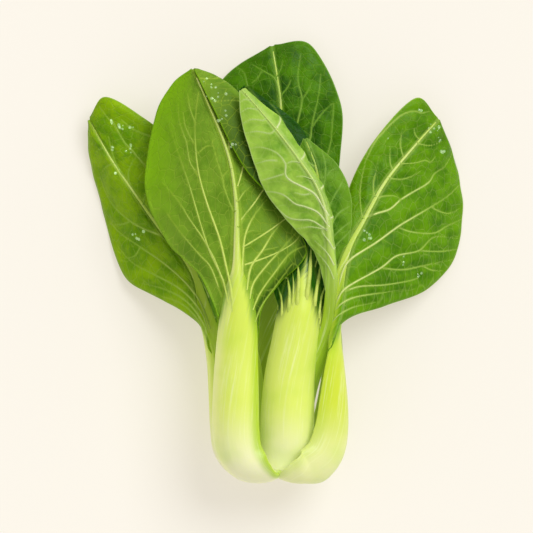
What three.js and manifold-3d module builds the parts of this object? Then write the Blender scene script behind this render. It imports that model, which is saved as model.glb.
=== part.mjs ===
// A small head of bok choy lying on its side: eight leaves on a short cut stem. Millimetres, +Z up.
// X runs across the head, Y from the root end to the leaf tips, and the head rests on Z = 0.
// Each leaf is a thick pale stalk that runs on as the midrib, and a thin green blade grown to its sides.
import * as THREE from 'three';
import { mergeVertices } from 'three/addons/utils/BufferGeometryUtils.js';
import Module from 'manifold-3d';

const wasm = await Module();
wasm.setup();

// Driving sizes, in millimetres
const BLADE_THICKNESS = 0.8;
const VEIN_RISE = 0.35;
const QUILT_DEPTH = 0.4;
const GAP = 0.3;
const STALK_SIDES = 12;
const STEM_SIDES = 18;
const ROWS_PER_SPAN = 3;
const STALK_STEPS_PER_SPAN = 2;
const CUPPED_FROM = 0.22;
const CLOSED_BY = 0.07;
const OPEN_BY = 0.16;
const SIDE_COLUMNS = 4;
const RAIL_COLUMNS = 3;
const TIDY = 0.14;

// The cut stem
const STEM = { x: 1.2, z: 24.3, bottom: -87, shoulder: -81, top: -77, radius: 7.4 };

// The surface that the head lies on, which presses a small flat spot on the lowest stalk
const REST_PLANE = 0;

// A stalk station is [x, y, z, half width, thickness, direction its outer face looks in, degrees].
// "cup" is how far a stalk's edges bend inward, and "closing" how much more they do at the root.
// From station number "from" on, each station also has a point on the left and on the right margin.
// A side with three rails is folded over: fold, second line of the fold, and the free margin.
const LEAVES = [
  {
    name: 'front_left', from: 7, midribEnd: 0.5, leftSide: 1, cup: 0.34, closing: 0.2,
    veins: 7, arch: [0.1, 0.05], sweep: [0.16, 0.12], wave: [0.9, 0.3], waves: 2.5, phase: 0.4,
    stations: [
      [-1.6, -86, 30.8, 7.4, 4.6, 114],
      [-6.6, -87.8, 34, 10.4, 5.8, 119],
      [-12, -85.2, 36.2, 10.7, 6.8, 118],
      [-16, -79, 38.2, 10.2, 7.5, 114],
      [-17.6, -70, 39.4, 10.3, 7.6, 111],
      [-17.5, -56, 40.6, 9.9, 7.4, 108],
      [-16.7, -38, 42, 8.9, 6.6, 102],
      [-15.9, -24.6, 43, 7.9, 5.8, 98],
      [-15.7, -15.6, 43.5, 6.5, 5, 96],
      [-15.8, -9, 44, 5, 4.4, 94],
      [-15.8, -2.5, 44, 3.1, 3.9, 92],
      [-16, 8, 44, 2.1, 3.3, 90],
      [-16.4, 26, 43, 1.3, 2.6, 90],
      [-20.5, 47, 40.3, 0.9, 2, 90],
      [-34, 79, 34, 0.5, 1.2, 90],
    ],
    left: [[
      [-23.5, -22, 40.5],
      [-31.2, -5.3, 37],
      [-43.5, 6.2, 31],
      [-51.7, 23.4, 27.5],
      [-53.3, 39.8, 26.5],
      [-49.6, 60.7, 28],
      [-41.8, 73.4, 30.5],
      [-34.6, 79.2, 33.8],
    ]],
    right: [
      [
        [-11, -27, 42],
        [-10, -17, 42.3],
        [-5, -8.8, 41],
        [3, 1, 39],
        [10, 22.5, 34.5],
        [-3.3, 50, 33.8],
        [-19.6, 70.8, 33.6],
        [-33.5, 79.2, 34],
      ],
      [
        [-9, -29, 41.5],
        [-8, -18, 41.2],
        [-1.5, -8.5, 39.3],
        [8.5, 5, 37.5],
        [10, 23, 38.5],
        [-3.8, 50, 38],
        [-20, 70.5, 37],
        [-33.2, 79.1, 34.8],
      ],
      [
        [-7.4, -31.2, 40.5],
        [-5.7, -18.9, 39.8],
        [2, -8.2, 37.5],
        [12.6, 4.5, 37],
        [3, 21, 41.6],
        [-13, 38.5, 43],
        [-26.2, 64, 40.2],
        [-33.4, 78.6, 35.6],
      ],
    ],
  },
  {
    name: 'front_centre', from: 7, midribEnd: 0.5, leftSide: 1, cup: 0.42, closing: 0,
    veins: 7, arch: [0.04, 0.04], sweep: [0.12, 0.1], wave: [0.8, 0.8], waves: 3, phase: 1.2,
    stations: [
      [1.8, -87, 33, 5, 3, 88],
      [2, -84.6, 33.8, 7.6, 4.6, 88],
      [3, -79.6, 34.1, 9.8, 6.2, 88],
      [4.6, -73, 35.4, 10.9, 7.4, 87],
      [5, -62, 36.3, 11, 7.6, 87],
      [5.8, -48, 37, 10.4, 7.4, 86],
      [7.8, -34, 38, 9.6, 6.8, 86],
      [9.6, -22.5, 38.5, 9.1, 6, 87],
      [10.4, -14.8, 38, 8, 5, 88],
      [10.8, -8, 37.2, 6.8, 4.2, 90],
      [12.4, 0, 35, 3.4, 3.6, 90],
      [13, 10, 31.6, 2.4, 3, 90],
      [10.5, 24, 28.7, 1.6, 2.6, 90],
      [4, 46, 27, 1, 2, 90],
      [-12, 72, 25, 0.5, 1.2, 90],
    ],
    left: [[
      [2.2, -23, 35.5],
      [-1, -12, 33],
      [-7, -2, 31],
      [-13, 10, 30],
      [-18, 24, 29.5],
      [-24, 42, 28],
      [-26, 60, 26.5],
      [-13, 72.6, 25],
    ]],
    right: [[
      [18.2, -26, 34.5],
      [20.3, -16, 33.5],
      [19.8, -7, 32],
      [17.5, 2, 29],
      [18.5, 14, 26],
      [19.5, 32, 24],
      [11, 54.5, 23.5],
      [-11.2, 72, 24.8],
    ]],
  },
  {
    name: 'right', from: 7, midribEnd: 0.6, leftSide: -1, cup: 0.34, closing: 0.9,
    veins: 8, arch: [0.05, 0.1], sweep: [0.12, 0.16], wave: [0.6, 0.9], waves: 2.5, phase: 2,
    stations: [
      [3.4, -86.4, 30.2, 7.4, 4.6, 68],
      [9, -87.9, 32.8, 10.8, 5.8, 60],
      [15.6, -86.2, 33, 12.2, 6.8, 51],
      [22, -79.4, 32.4, 11.3, 7.4, 40],
      [24.8, -69, 31.8, 10.5, 7.2, 34],
      [25.3, -55, 31.6, 9.5, 6.8, 24],
      [24.8, -42, 31.6, 8.5, 6.2, 8],
      [23.7, -31, 31.6, 7, 5.6, -18],
      [23.8, -22, 32.2, 5.2, 5, -48],
      [24.8, -14, 32.8, 3.6, 4.4, -74],
      [26.5, -5, 33, 2.6, 3.9, -84],
      [30, 6, 31.7, 1.7, 3.2, -88],
      [36, 17, 28.4, 1.3, 2.8, -92],
      [45, 33, 22.5, 1, 2.3, -95],
      [57, 47.7, 16.5, 0.7, 1.8, -95],
      [67, 58.8, 11.1, 0.5, 1.2, -95],
    ],
    left: [[
      [22.5, -31, 25.5],
      [22.3, -21, 28.5],
      [22.8, -12, 30.5],
      [24.3, -3, 30.5],
      [26.6, 8, 28.5],
      [28.5, 26, 24],
      [39, 48, 21.5],
      [57, 67.3, 15],
      [66.4, 59.6, 11.2],
    ]],
    right: [[
      [21, -37, 39],
      [28, -24.4, 35],
      [44, -18, 24],
      [62, -11, 11],
      [74, 1, 4],
      [76.6, 16, 0.6],
      [75.8, 31, 0.2],
      [73, 45, 3],
      [67.5, 58, 10.8],
    ]],
  },
  {
    name: 'left', from: 7, midribEnd: 0.6, leftSide: -1, cup: 0.34, closing: 0,
    veins: 8, arch: [0.1, 0.05], sweep: [0.16, 0.1], wave: [0.9, 0.7], waves: 2.5, phase: 0.9,
    stations: [
      [-6.8, -83, 24, 4.6, 4.4, 186],
      [-11.8, -85.8, 23.2, 8, 5.6, 188],
      [-17.4, -84, 22.2, 9.8, 6.6, 190],
      [-22, -77.5, 20.8, 10.6, 7, 191],
      [-23.4, -68, 20.2, 10.6, 7, 192],
      [-24.2, -54, 20.8, 9.8, 6.6, 194],
      [-25.2, -41, 22, 8.4, 5.8, 199],
      [-26.8, -31, 23, 6.6, 5, 208],
      [-28.2, -25, 23.2, 5.2, 4.6, 224],
      [-29.8, -18, 22.8, 3.8, 4.2, 242],
      [-32.4, -7.5, 21, 2.5, 3.5, 256],
      [-38.5, 2.5, 18.7, 1.7, 2.9, 262],
      [-47, 12.5, 16, 1.3, 2.5, 265],
      [-57, 26.4, 13.2, 1, 2.1, 266],
      [-68, 42.4, 10.6, 0.7, 1.7, 266],
      [-77, 58.6, 8, 0.5, 1.2, 266],
    ],
    left: [[
      [-26.4, -37.5, 30.4],
      [-32, -25, 25],
      [-46.5, -16, 15],
      [-60.5, -7.5, 4.5],
      [-67.4, 8, 1],
      [-72.6, 23, 0.6],
      [-75.8, 38, 1.8],
      [-77.2, 50, 4.5],
      [-77.3, 57.4, 7.7],
    ]],
    right: [[
      [-24.2, -32, 19.5],
      [-24.2, -23, 18],
      [-22.5, -9, 15.5],
      [-21.5, 10, 13.5],
      [-26, 29, 13.5],
      [-38, 46, 14.3],
      [-54, 59, 14.5],
      [-70, 68, 12.5],
      [-76.7, 59.8, 8.3],
    ]],
  },
  {
    name: 'top_back', from: 6, midribEnd: 0.5, leftSide: -1, cup: 0.3, closing: 0,
    veins: 7, arch: [0.05, 0.06], sweep: [0.14, 0.14], wave: [0.9, 0.9], waves: 3, phase: 0,
    stations: [
      [2.2, -83, 16.6, 4.8, 4.4, 276],
      [2.8, -85.8, 12.6, 8.4, 5.8, 278],
      [3.4, -83.6, 8.4, 10.6, 6.6, 278],
      [3.2, -74.5, 4.2, 11.4, 7, 277],
      [1.4, -57, 2.9, 11, 6.9, 275],
      [-0.6, -37, 3.5, 9, 6.2, 272],
      [-1, -18, 5.8, 7, 5.4, 270],
      [-0.6, -6, 7.2, 5.4, 4.8, 270],
      [0, 6, 8.2, 4.2, 4.2, 270],
      [0.8, 19, 9, 3.2, 3.7, 270],
      [1.5, 34, 10, 2.3, 3.1, 270],
      [2.3, 50, 11, 1.6, 2.5, 270],
      [1.8, 67, 12, 0.8, 1.9, 270],
      [-1.5, 89, 9, 0.5, 1.2, 270],
    ],
    left: [[
      [-8.6, -16, 7],
      [-17, -4, 8],
      [-25, 11, 8],
      [-31, 28, 7.5],
      [-33, 45, 6.5],
      [-29, 62, 6],
      [-19.5, 78, 6.5],
      [-2.6, 88.9, 8.8],
    ]],
    right: [[
      [6.6, -16, 7],
      [13, -4, 8],
      [19, 10, 8.5],
      [24, 26, 9],
      [26.6, 44, 9.5],
      [26.3, 66, 9],
      [14.4, 89.4, 8.5],
      [-0.4, 89.6, 9],
    ]],
  },
  {
    name: 'back_left', from: 7, midribEnd: 0.4, leftSide: -1, cup: 0.32, closing: 0,
    veins: 6, arch: [0.04, 0.04], sweep: [0.12, 0.12], wave: [0.7, 0.7], waves: 2.5, phase: 0.6,
    stations: [
      [-4.4, -82.6, 18.8, 4, 4.2, 226],
      [-7.4, -85.2, 15.4, 6.6, 5.2, 228],
      [-9.8, -82.6, 12, 8.2, 5.8, 230],
      [-12, -74, 9, 8.8, 6, 232],
      [-12.8, -57, 8.8, 8.2, 5.8, 234],
      [-13.8, -43, 11.2, 7.4, 5.4, 237],
      [-16.2, -31, 16, 6.4, 4.9, 242],
      [-20, -22, 20, 5.6, 4.4, 250],
      [-23.4, -13, 22.6, 4.4, 3.8, 259],
      [-25.2, -3, 23.8, 3.2, 3.3, 266],
      [-25.6, 9, 24, 2.2, 2.8, 270],
      [-24.4, 24, 23.8, 1.5, 2.4, 270],
      [-21.5, 41, 23.2, 0.9, 1.9, 270],
      [-17.5, 56, 22.5, 0.5, 1.2, 270],
    ],
    left: [[
      [-25.6, -20, 21],
      [-31, -8, 20.6],
      [-37, 5, 20.4],
      [-40, 20, 20.2],
      [-38.5, 35, 20.2],
      [-31, 49, 21],
      [-18.4, 56.2, 22.3],
    ]],
    right: [[
      [-15.2, -22.5, 19.5],
      [-11, -11, 20.4],
      [-8, 3, 20.8],
      [-6.5, 17, 21],
      [-6.5, 31, 21],
      [-9.5, 46, 21.4],
      [-16.6, 56.2, 22.4],
    ]],
  },
  {
    name: 'inner_right', from: 7, midribEnd: 0.4, leftSide: -1, cup: 0.32, closing: 0,
    veins: 6, arch: [0.05, 0.08], sweep: [0.12, 0.14], wave: [0.5, 0.6], waves: 2.5, phase: 1.5,
    stations: [
      [7.4, -82.6, 19.4, 4, 4.2, 318],
      [11, -85.2, 16.8, 6.6, 5, 320],
      [14.8, -82.4, 14, 8, 5.6, 322],
      [19.8, -74, 11.6, 8.2, 5.8, 325],
      [23, -58, 11.8, 7.4, 5.4, 330],
      [24.4, -44, 15, 6.4, 4.9, 330],
      [24, -30, 20, 5.4, 4.4, 322],
      [22, -17, 25, 4.4, 3.9, 310],
      [20.7, -7, 28.8, 3.5, 3.4, 297],
      [20, 2, 31.8, 2.7, 3, 288],
      [19.5, 12, 34.4, 2, 2.7, 283],
      [18.5, 24, 36, 1.4, 2.3, 279],
      [16.5, 38, 36.3, 0.9, 1.8, 275],
      [12, 50.5, 35, 0.5, 1.2, 275],
    ],
    left: [[
      [18.6, -16, 26.5],
      [17.2, -7, 29.5],
      [14.5, 3, 32.6],
      [11, 14, 34],
      [8, 27, 34.8],
      [7.5, 41, 34.8],
      [11.2, 50.6, 34.8],
    ]],
    right: [[
      [25.4, -15.5, 26],
      [26.6, -5, 28],
      [28.4, 5, 30.4],
      [31.2, 16.5, 33],
      [30.4, 28, 34],
      [24.5, 40.5, 34.4],
      [12.8, 50.6, 34.8],
    ]],
  },
  {
    name: 'curled', from: 6, midribEnd: 0.4, leftSide: 1, cup: 0.3, closing: 0,
    veins: 9, arch: [0.12, 0.05], sweep: [0.05, 0.02], wave: [0.5, 0.2], waves: 3, phase: 0.3,
    stations: [
      [6.6, -78.5, 27.2, 4, 3.8, 60],
      [8, -75, 27.4, 5.2, 4.2, 56],
      [9.6, -68, 27.8, 6.2, 4.6, 53],
      [12.4, -55, 27.8, 6.6, 4.5, 48],
      [17.8, -40, 30, 4.9, 3.9, 38],
      [21.4, -26, 34, 3.2, 3.2, 40],
      [22.8, -12, 38.8, 2.5, 3.1, 66],
      [22.8, -3, 42.3, 2, 2.8, 82],
      [21.8, 8, 45.7, 1.5, 2.5, 88],
      [20.3, 20, 48.2, 1.2, 2.2, 86],
      [16.4, 31, 49.4, 1, 2, 84],
      [8.7, 42.5, 49.4, 0.8, 1.8, 84],
      [-0.8, 55, 47.4, 0.6, 1.5, 86],
      [-14, 70.5, 43.6, 0.5, 1.2, 90],
    ],
    left: [[
      [20.2, -11, 38],
      [17.5, 0, 40],
      [12, 9, 42],
      [4, 18, 43.6],
      [-4.5, 28.5, 44.6],
      [-9, 41, 45],
      [-14.2, 58, 44],
      [-15, 70, 43.3],
    ]],
    right: [
      [
        [24.2, -11, 38],
        [24.5, -2, 40.3],
        [23.9, 8, 43.4],
        [22.8, 20, 45.8],
        [18.6, 32, 47.5],
        [11.5, 44.5, 47.5],
        [2.2, 58, 45.6],
        [-12.8, 71, 43.4],
      ],
      [
        [23.8, -11, 36.4],
        [23.9, -2, 38],
        [23, 8, 40.2],
        [21.5, 20, 42.2],
        [17, 32, 43.2],
        [10, 44.5, 43.2],
        [1, 58, 42.2],
        [-12.5, 71, 42.6],
      ],
      [
        [22.6, -11, 35.4],
        [21.8, -2, 37],
        [19.5, 8, 38.4],
        [16, 19, 39.8],
        [10.5, 30, 40.6],
        [3.6, 42, 41],
        [-4, 56, 41],
        [-13.2, 70.6, 42.3],
      ],
    ],
  },
];

const STALK_COLOUR = 0xd5e46a;
const BLADE_COLOURS = {
  front_left: 0x7ca83a,
  front_centre: 0x2c5f12,
  right: 0x3f8f10,
  left: 0x3c8a12,
  top_back: 0x2f7a0a,
  back_left: 0x47821f,
  inner_right: 0x2e7414,
  curled: 0x6fa53a,
};

// Vectors as plain arrays
const add = (a, b) => a.map((value, i) => value + b[i]);
const scale = (a, k) => a.map((value) => value * k);
const subtract = (a, b) => a.map((value, i) => value - b[i]);
const mix = (a, b, t) => a.map((value, i) => value + (b[i] - value) * t);
const dot = (a, b) => a[0] * b[0] + a[1] * b[1] + a[2] * b[2];
const cross = (a, b) => [
  a[1] * b[2] - a[2] * b[1],
  a[2] * b[0] - a[0] * b[2],
  a[0] * b[1] - a[1] * b[0],
];
const unit = (a) => scale(a, 1 / Math.hypot(...a));

// A smooth line through a list of points, which may hold more than three values each
function along(points, t) {
  const last = points.length - 1;
  const place = Math.min(Math.max(t, 0), 1) * last;
  const i = Math.min(Math.floor(place), last - 1);
  const f = place - i;
  const p1 = points[i];
  const p2 = points[i + 1];
  const p0 = i > 0 ? points[i - 1] : subtract(scale(p1, 2), p2);
  const p3 = i + 2 <= last ? points[i + 2] : subtract(scale(p2, 2), p1);
  return p1.map((value, k) => {
    const v0 = (p2[k] - p0[k]) / 2;
    const v1 = (p3[k] - value) / 2;
    const a = 2 * value - 2 * p2[k] + v0 + v1;
    const b = -3 * value + 3 * p2[k] - 2 * v0 - v1;
    return ((a * f + b) * f + v0) * f + value;
  });
}

// Where a stalk is at t, the way it runs, the way its outer face looks, and the way across it
function stalkFrame(leaf, t) {
  const station = along(leaf.stations, t);
  const step = 0.004;
  const ahead = along(leaf.stations, Math.min(t + step, 1));
  const behind = along(leaf.stations, Math.max(t - step, 0));
  const run = unit(subtract(ahead.slice(0, 3), behind.slice(0, 3)));
  const angle = THREE.MathUtils.degToRad(station[5]);
  const radial = [Math.cos(angle), 0, Math.sin(angle)];
  const outer = unit(subtract(scale(radial, run[1]), scale([0, 1, 0], dot(run, radial))));
  return {
    centre: station.slice(0, 3),
    halfWidth: station[3],
    thickness: station[4],
    run,
    outer,
    across: cross(outer, run),
  };
}

// How far the stalk's edges are bent in at t: it is flatter at its end, and near there the edges of
// some stalks lean over the head's base
function cupAt(leaf, t) {
  const { smoothstep } = THREE.MathUtils;
  const leaning = smoothstep(t, 0, CLOSED_BY) * (1 - smoothstep(t, CLOSED_BY, OPEN_BY));
  return leaf.cup * (smoothstep(t, -CUPPED_FROM, CUPPED_FROM) + leaf.closing * leaning);
}

// The stalk's crescent section: round outside, with its two edges bent to the inner side
function stalkRing(leaf, t, extra) {
  const frame = stalkFrame(leaf, t);
  const cup = cupAt(leaf, t);
  const ring = [];
  for (let i = 0; i < STALK_SIDES; i += 1) {
    const turn = (2 * Math.PI * i) / STALK_SIDES;
    const side = Math.cos(turn);
    const sideways = side * (frame.halfWidth + extra);
    const outwards = Math.sin(turn) * (frame.thickness / 2 + extra)
      - cup * frame.halfWidth * side * side;
    ring.push(add(frame.centre, add(scale(frame.across, sideways), scale(frame.outer, outwards))));
  }
  return ring;
}

// A closed solid from rings of points that follow one another, with a flat cap at each end
function solidFromRings(rings) {
  const count = rings[0].length;
  const points = rings.flat();
  const triangles = [];
  for (let r = 0; r + 1 < rings.length; r += 1) {
    for (let i = 0; i < count; i += 1) {
      const j = (i + 1) % count;
      const a = r * count + i;
      const b = r * count + j;
      const c = (r + 1) * count + j;
      const d = (r + 1) * count + i;
      triangles.push([a, b, c], [a, c, d]);
    }
  }
  const addCap = (first, turned) => {
    const ring = points.slice(first, first + count);
    const middle = points.push(scale(ring.reduce(add), 1 / count)) - 1;
    for (let i = 0; i < count; i += 1) {
      const j = (i + 1) % count;
      const pair = turned ? [first + j, first + i] : [first + i, first + j];
      triangles.push([middle, ...pair]);
    }
  };
  addCap(0, true);
  addCap((rings.length - 1) * count, false);
  return toManifold(points, triangles);
}

// A manifold solid whose faces point out, whichever way round the triangles were listed
function toManifold(points, triangles) {
  let volume = 0;
  for (const [a, b, c] of triangles) {
    volume += dot(points[a], cross(points[b], points[c]));
  }
  const order = volume > 0 ? triangles : triangles.map(([a, b, c]) => [a, c, b]);
  return new wasm.Manifold(new wasm.Mesh({
    numProp: 3,
    vertProperties: new Float32Array(points.flat()),
    triVerts: new Uint32Array(order.flat()),
  }));
}

// The part of the stations that the midrib fills; the blade runs on a little past its end
function stalkEnd(leaf) {
  return (leaf.stations.length - 2 + leaf.midribEnd) / (leaf.stations.length - 1);
}

function stalkSolid(leaf, extra) {
  const steps = (leaf.stations.length - 1) * STALK_STEPS_PER_SPAN;
  const end = stalkEnd(leaf);
  const rings = [];
  for (let i = 0; i <= steps; i += 1) {
    rings.push(stalkRing(leaf, (end * i) / steps, extra));
  }
  // A wider form also reaches further at its two ends
  const moved = (ring, t, distance) => ring.map((p) => add(p, scale(stalkFrame(leaf, t).run, distance)));
  rings[0] = moved(rings[0], 0, -extra);
  rings[steps] = moved(rings[steps], end, extra);
  return solidFromRings(rings);
}

// One side of a blade's row, from the stalk's edge out to the margin
function sideLine(leaf, rails, which, frame, edge, u) {
  if (rails.length > 1) {
    const line = [edge, ...rails.map((rail) => along(rail, u))];
    const count = rails.length * RAIL_COLUMNS;
    return Array.from({ length: count }, (unused, i) => along(line, (i + 1) / count));
  }
  const margin = along(rails[0], u);
  const span = Math.hypot(...subtract(margin, edge));
  const bend = add(
    mix(edge, margin, 0.5),
    add(scale(frame.run, leaf.sweep[which] * span), [0, 0, leaf.arch[which] * span]),
  );
  return Array.from({ length: SIDE_COLUMNS }, (unused, i) => {
    const s = (i + 1) / SIDE_COLUMNS;
    return mix(mix(edge, bend, s), mix(bend, margin, s), s);
  });
}

// A blade's row of points from the left margin to the right one, and how far out each lies, 0 to 1
function bladeRow(leaf, u) {
  const last = leaf.stations.length - 1;
  const t = (leaf.from + (last - leaf.from) * u) / last;
  const frame = stalkFrame(leaf, t);
  const edgeAt = (side) => add(
    frame.centre,
    add(scale(frame.across, side * frame.halfWidth), scale(frame.outer, -leaf.cup * frame.halfWidth)),
  );
  const leftEdge = edgeAt(leaf.leftSide);
  const rightEdge = edgeAt(-leaf.leftSide);
  const left = sideLine(leaf, leaf.left, 0, frame, leftEdge, u);
  const right = sideLine(leaf, leaf.right, 1, frame, rightEdge, u);
  const out = [
    ...left.map((unused, i) => -(i + 1) / left.length).reverse(),
    0,
    0,
    ...right.map((unused, i) => (i + 1) / right.length),
  ];
  return { points: [...left.reverse(), leftEdge, rightEdge, ...right], out };
}

// The blade: its rows run with the side veins, which stand up, and the leaf swells between them
function bladeSolid(leaf, extra) {
  const count = (leaf.stations.length - 1 - leaf.from) * ROWS_PER_SPAN;
  const rows = Array.from({ length: count + 1 }, (unused, i) => bladeRow(leaf, i / count));
  const width = rows[0].points.length;
  const top = [];
  const bottom = [];
  for (let r = 0; r <= count; r += 1) {
    const u = r / count;
    for (let c = 0; c < width; c += 1) {
      const before = rows[Math.max(r - 1, 0)].points[c];
      const after = rows[Math.min(r + 1, count)].points[c];
      const leftward = rows[r].points[Math.max(c - 1, 0)];
      const rightward = rows[r].points[Math.min(c + 1, width - 1)];
      const normal = unit(cross(subtract(rightward, leftward), subtract(after, before)));
      const out = rows[r].out[c];
      const which = out < 0 ? 0 : 1;
      const reach = Math.abs(out);
      const fade = Math.sin(Math.PI * u);
      const vein = Math.cos(2 * Math.PI * leaf.veins * u);
      const ripple = leaf.wave[which] * reach ** 3 * fade
        * Math.sin(2 * Math.PI * leaf.waves * u + leaf.phase + which);
      const quilt = -QUILT_DEPTH * Math.sin(Math.PI * reach) * vein * fade;
      const half = BLADE_THICKNESS / 2 + VEIN_RISE * Math.max(vein, 0) * (1 - reach) * fade + extra;
      const middle = add(rows[r].points[c], scale(normal, ripple + quilt));
      // A margin that droops to the surface lies on it
      const low = middle[2] - Math.abs(normal[2]) * half;
      const lift = [0, 0, Math.max(0, REST_PLANE - low)];
      top.push(add(add(middle, scale(normal, half)), lift));
      bottom.push(add(add(middle, scale(normal, -half)), lift));
    }
  }
  const at = (r, c) => r * width + c;
  const under = top.length;
  const triangles = [];
  for (let r = 0; r < count; r += 1) {
    for (let c = 0; c + 1 < width; c += 1) {
      const quad = [at(r, c), at(r, c + 1), at(r + 1, c + 1), at(r + 1, c)];
      triangles.push([quad[0], quad[1], quad[2]], [quad[0], quad[2], quad[3]]);
      triangles.push([under + quad[2], under + quad[1], under + quad[0]]);
      triangles.push([under + quad[3], under + quad[2], under + quad[0]]);
    }
  }
  const rim = [];
  for (let c = 0; c + 1 < width; c += 1) rim.push(at(0, c));
  for (let r = 0; r < count; r += 1) rim.push(at(r, width - 1));
  for (let c = width - 1; c > 0; c -= 1) rim.push(at(count, c));
  for (let r = count; r > 0; r -= 1) rim.push(at(r, 0));
  rim.forEach((a, i) => {
    const b = rim[(i + 1) % rim.length];
    triangles.push([a, under + a, under + b], [a, under + b, b]);
  });
  return toManifold([...top, ...bottom], triangles);
}

// A closed solid from one of the library's geometries
function fromGeometry(geometry) {
  geometry.deleteAttribute('normal');
  geometry.deleteAttribute('uv');
  const merged = mergeVertices(geometry, 1e-4);
  return new wasm.Manifold(new wasm.Mesh({
    numProp: 3,
    vertProperties: merged.attributes.position.array,
    triVerts: merged.index.array,
  }));
}

// The short stem: a turned cone stub along Y, cut flat at the root end
function stemSolid(extra) {
  const r = STEM.radius + extra;
  const low = STEM.bottom - extra;
  const profile = [
    new THREE.Vector2(0, low),
    new THREE.Vector2(r - 1, low),
    new THREE.Vector2(r, low + 1),
    new THREE.Vector2(r, STEM.shoulder + extra),
    new THREE.Vector2(r * 0.5, STEM.top + extra),
    new THREE.Vector2(0, STEM.top + extra),
  ];
  const geometry = new THREE.LatheGeometry(profile, STEM_SIDES);
  geometry.translate(STEM.x, 0, STEM.z);
  return fromGeometry(geometry);
}

// A big block below the resting plane, which trims what would reach under it
function belowRest() {
  const block = new THREE.BoxGeometry(400, 400, 40);
  block.translate(0, 0, REST_PLANE - 20);
  return fromGeometry(block);
}

// Keep the largest body, so no loose scrap stays after the cuts
function largestBody(solid) {
  const bodies = solid.decompose();
  return bodies.reduce((best, body) => (body.volume() > best.volume() ? body : best));
}

function boxesMeet(a, b) {
  const boxA = a.boundingBox();
  const boxB = b.boundingBox();
  return [0, 1, 2].every((k) => boxA.min[k] < boxB.max[k] && boxB.min[k] < boxA.max[k]);
}

function toMesh(name, solid, material) {
  const { numProp, vertProperties, triVerts } = solid.getMesh();
  const positions = new Float32Array((vertProperties.length / numProp) * 3);
  for (let i = 0; i < positions.length / 3; i += 1) {
    positions.set(vertProperties.subarray(i * numProp, i * numProp + 3), i * 3);
  }
  const geometry = new THREE.BufferGeometry();
  geometry.setAttribute('position', new THREE.BufferAttribute(positions, 3));
  geometry.setIndex(new THREE.BufferAttribute(new Uint32Array(triVerts), 1));
  geometry.computeVertexNormals();
  const mesh = new THREE.Mesh(geometry, material);
  mesh.name = name;
  return mesh;
}

// What is listed first keeps its whole form, and what comes later is cut back to clear it
const stalkMaterial = new THREE.MeshStandardMaterial({ color: STALK_COLOUR, roughness: 0.35 });
const stemMaterial = new THREE.MeshStandardMaterial({ color: 0xe6e4b4, roughness: 0.7 });
const pieces = [
  { name: 'stem_base', build: stemSolid, material: stemMaterial },
  ...LEAVES.map((leaf) => ({
    name: `${leaf.name}_stalk`,
    build: (extra) => stalkSolid(leaf, extra),
    material: stalkMaterial,
  })),
  ...LEAVES.map((leaf) => ({
    name: `${leaf.name}_blade`,
    build: (extra) => bladeSolid(leaf, extra),
    material: new THREE.MeshStandardMaterial({ color: BLADE_COLOURS[leaf.name], roughness: 0.4 }),
  })),
];

const head = new THREE.Group();
const floorBlock = belowRest();
const kept = [];
for (const piece of pieces) {
  let solid = piece.build(0);
  for (const earlier of kept) {
    if (boxesMeet(solid, earlier.wide)) {
      solid = solid.subtract(earlier.wide);
    }
  }
  solid = largestBody(solid.simplify(TIDY).subtract(floorBlock));
  kept.push({ name: piece.name, solid, wide: piece.build(GAP) });
  head.add(toMesh(piece.name, solid, piece.material));
}

export default head;
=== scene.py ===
# %% [markdown]
# # A head of bok choy
# The object is one small head of bok choy, lying on its side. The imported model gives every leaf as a
# plain faceted solid at its real place. In this file each of those solids gets a smooth, detailed
# stand-in with its own finish: thick ribbed stalks, thin quilted blades, raised veins and drops of water.
# The leaves are worked out in millimetres and turned into metres when their meshes are made, +Z is up
# and the head rests on Z = 0.

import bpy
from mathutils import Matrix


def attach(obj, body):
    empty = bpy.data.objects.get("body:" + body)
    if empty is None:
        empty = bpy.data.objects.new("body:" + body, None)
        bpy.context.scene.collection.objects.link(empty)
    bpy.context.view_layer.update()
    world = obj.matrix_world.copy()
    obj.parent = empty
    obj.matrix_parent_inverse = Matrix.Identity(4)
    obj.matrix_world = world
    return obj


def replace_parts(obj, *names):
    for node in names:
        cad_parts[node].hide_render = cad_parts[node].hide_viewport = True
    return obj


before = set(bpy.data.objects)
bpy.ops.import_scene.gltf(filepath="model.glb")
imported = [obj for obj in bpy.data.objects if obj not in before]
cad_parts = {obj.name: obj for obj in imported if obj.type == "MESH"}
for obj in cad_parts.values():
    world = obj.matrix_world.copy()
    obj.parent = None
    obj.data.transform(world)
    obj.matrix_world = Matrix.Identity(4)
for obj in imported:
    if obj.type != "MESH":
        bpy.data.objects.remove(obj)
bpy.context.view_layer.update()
print("CAD nodes:", len(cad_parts))

# %% Bring in what the later cells use
import math

import bmesh
import bpy
import numpy as np
from mathutils import Matrix, Vector
from mathutils.bvhtree import BVHTree
from mathutils.kdtree import KDTree

MM = 0.001
PHOTO_MM = 0.41  # what one step in the photo measures on the head
rng = np.random.default_rng(7)
print("one photo step is", PHOTO_MM, "mm")

# %% [markdown]
# ## How a leaf is described
# A leaf could be sculpted by hand, but then its solid and its finished form would drift apart. Here each
# leaf is a short list of stations along its stalk, as in the model's source: x, y, z, half width and
# thickness, in millimetres, and the direction its outer face looks in, in degrees. From the station
# called start on, a rail gives the blade's left and right margin. A side with three rails is folded
# over. Smooth lines through these few points then give any point of the leaf, so the grid can be as
# fine as the finish needs.

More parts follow.
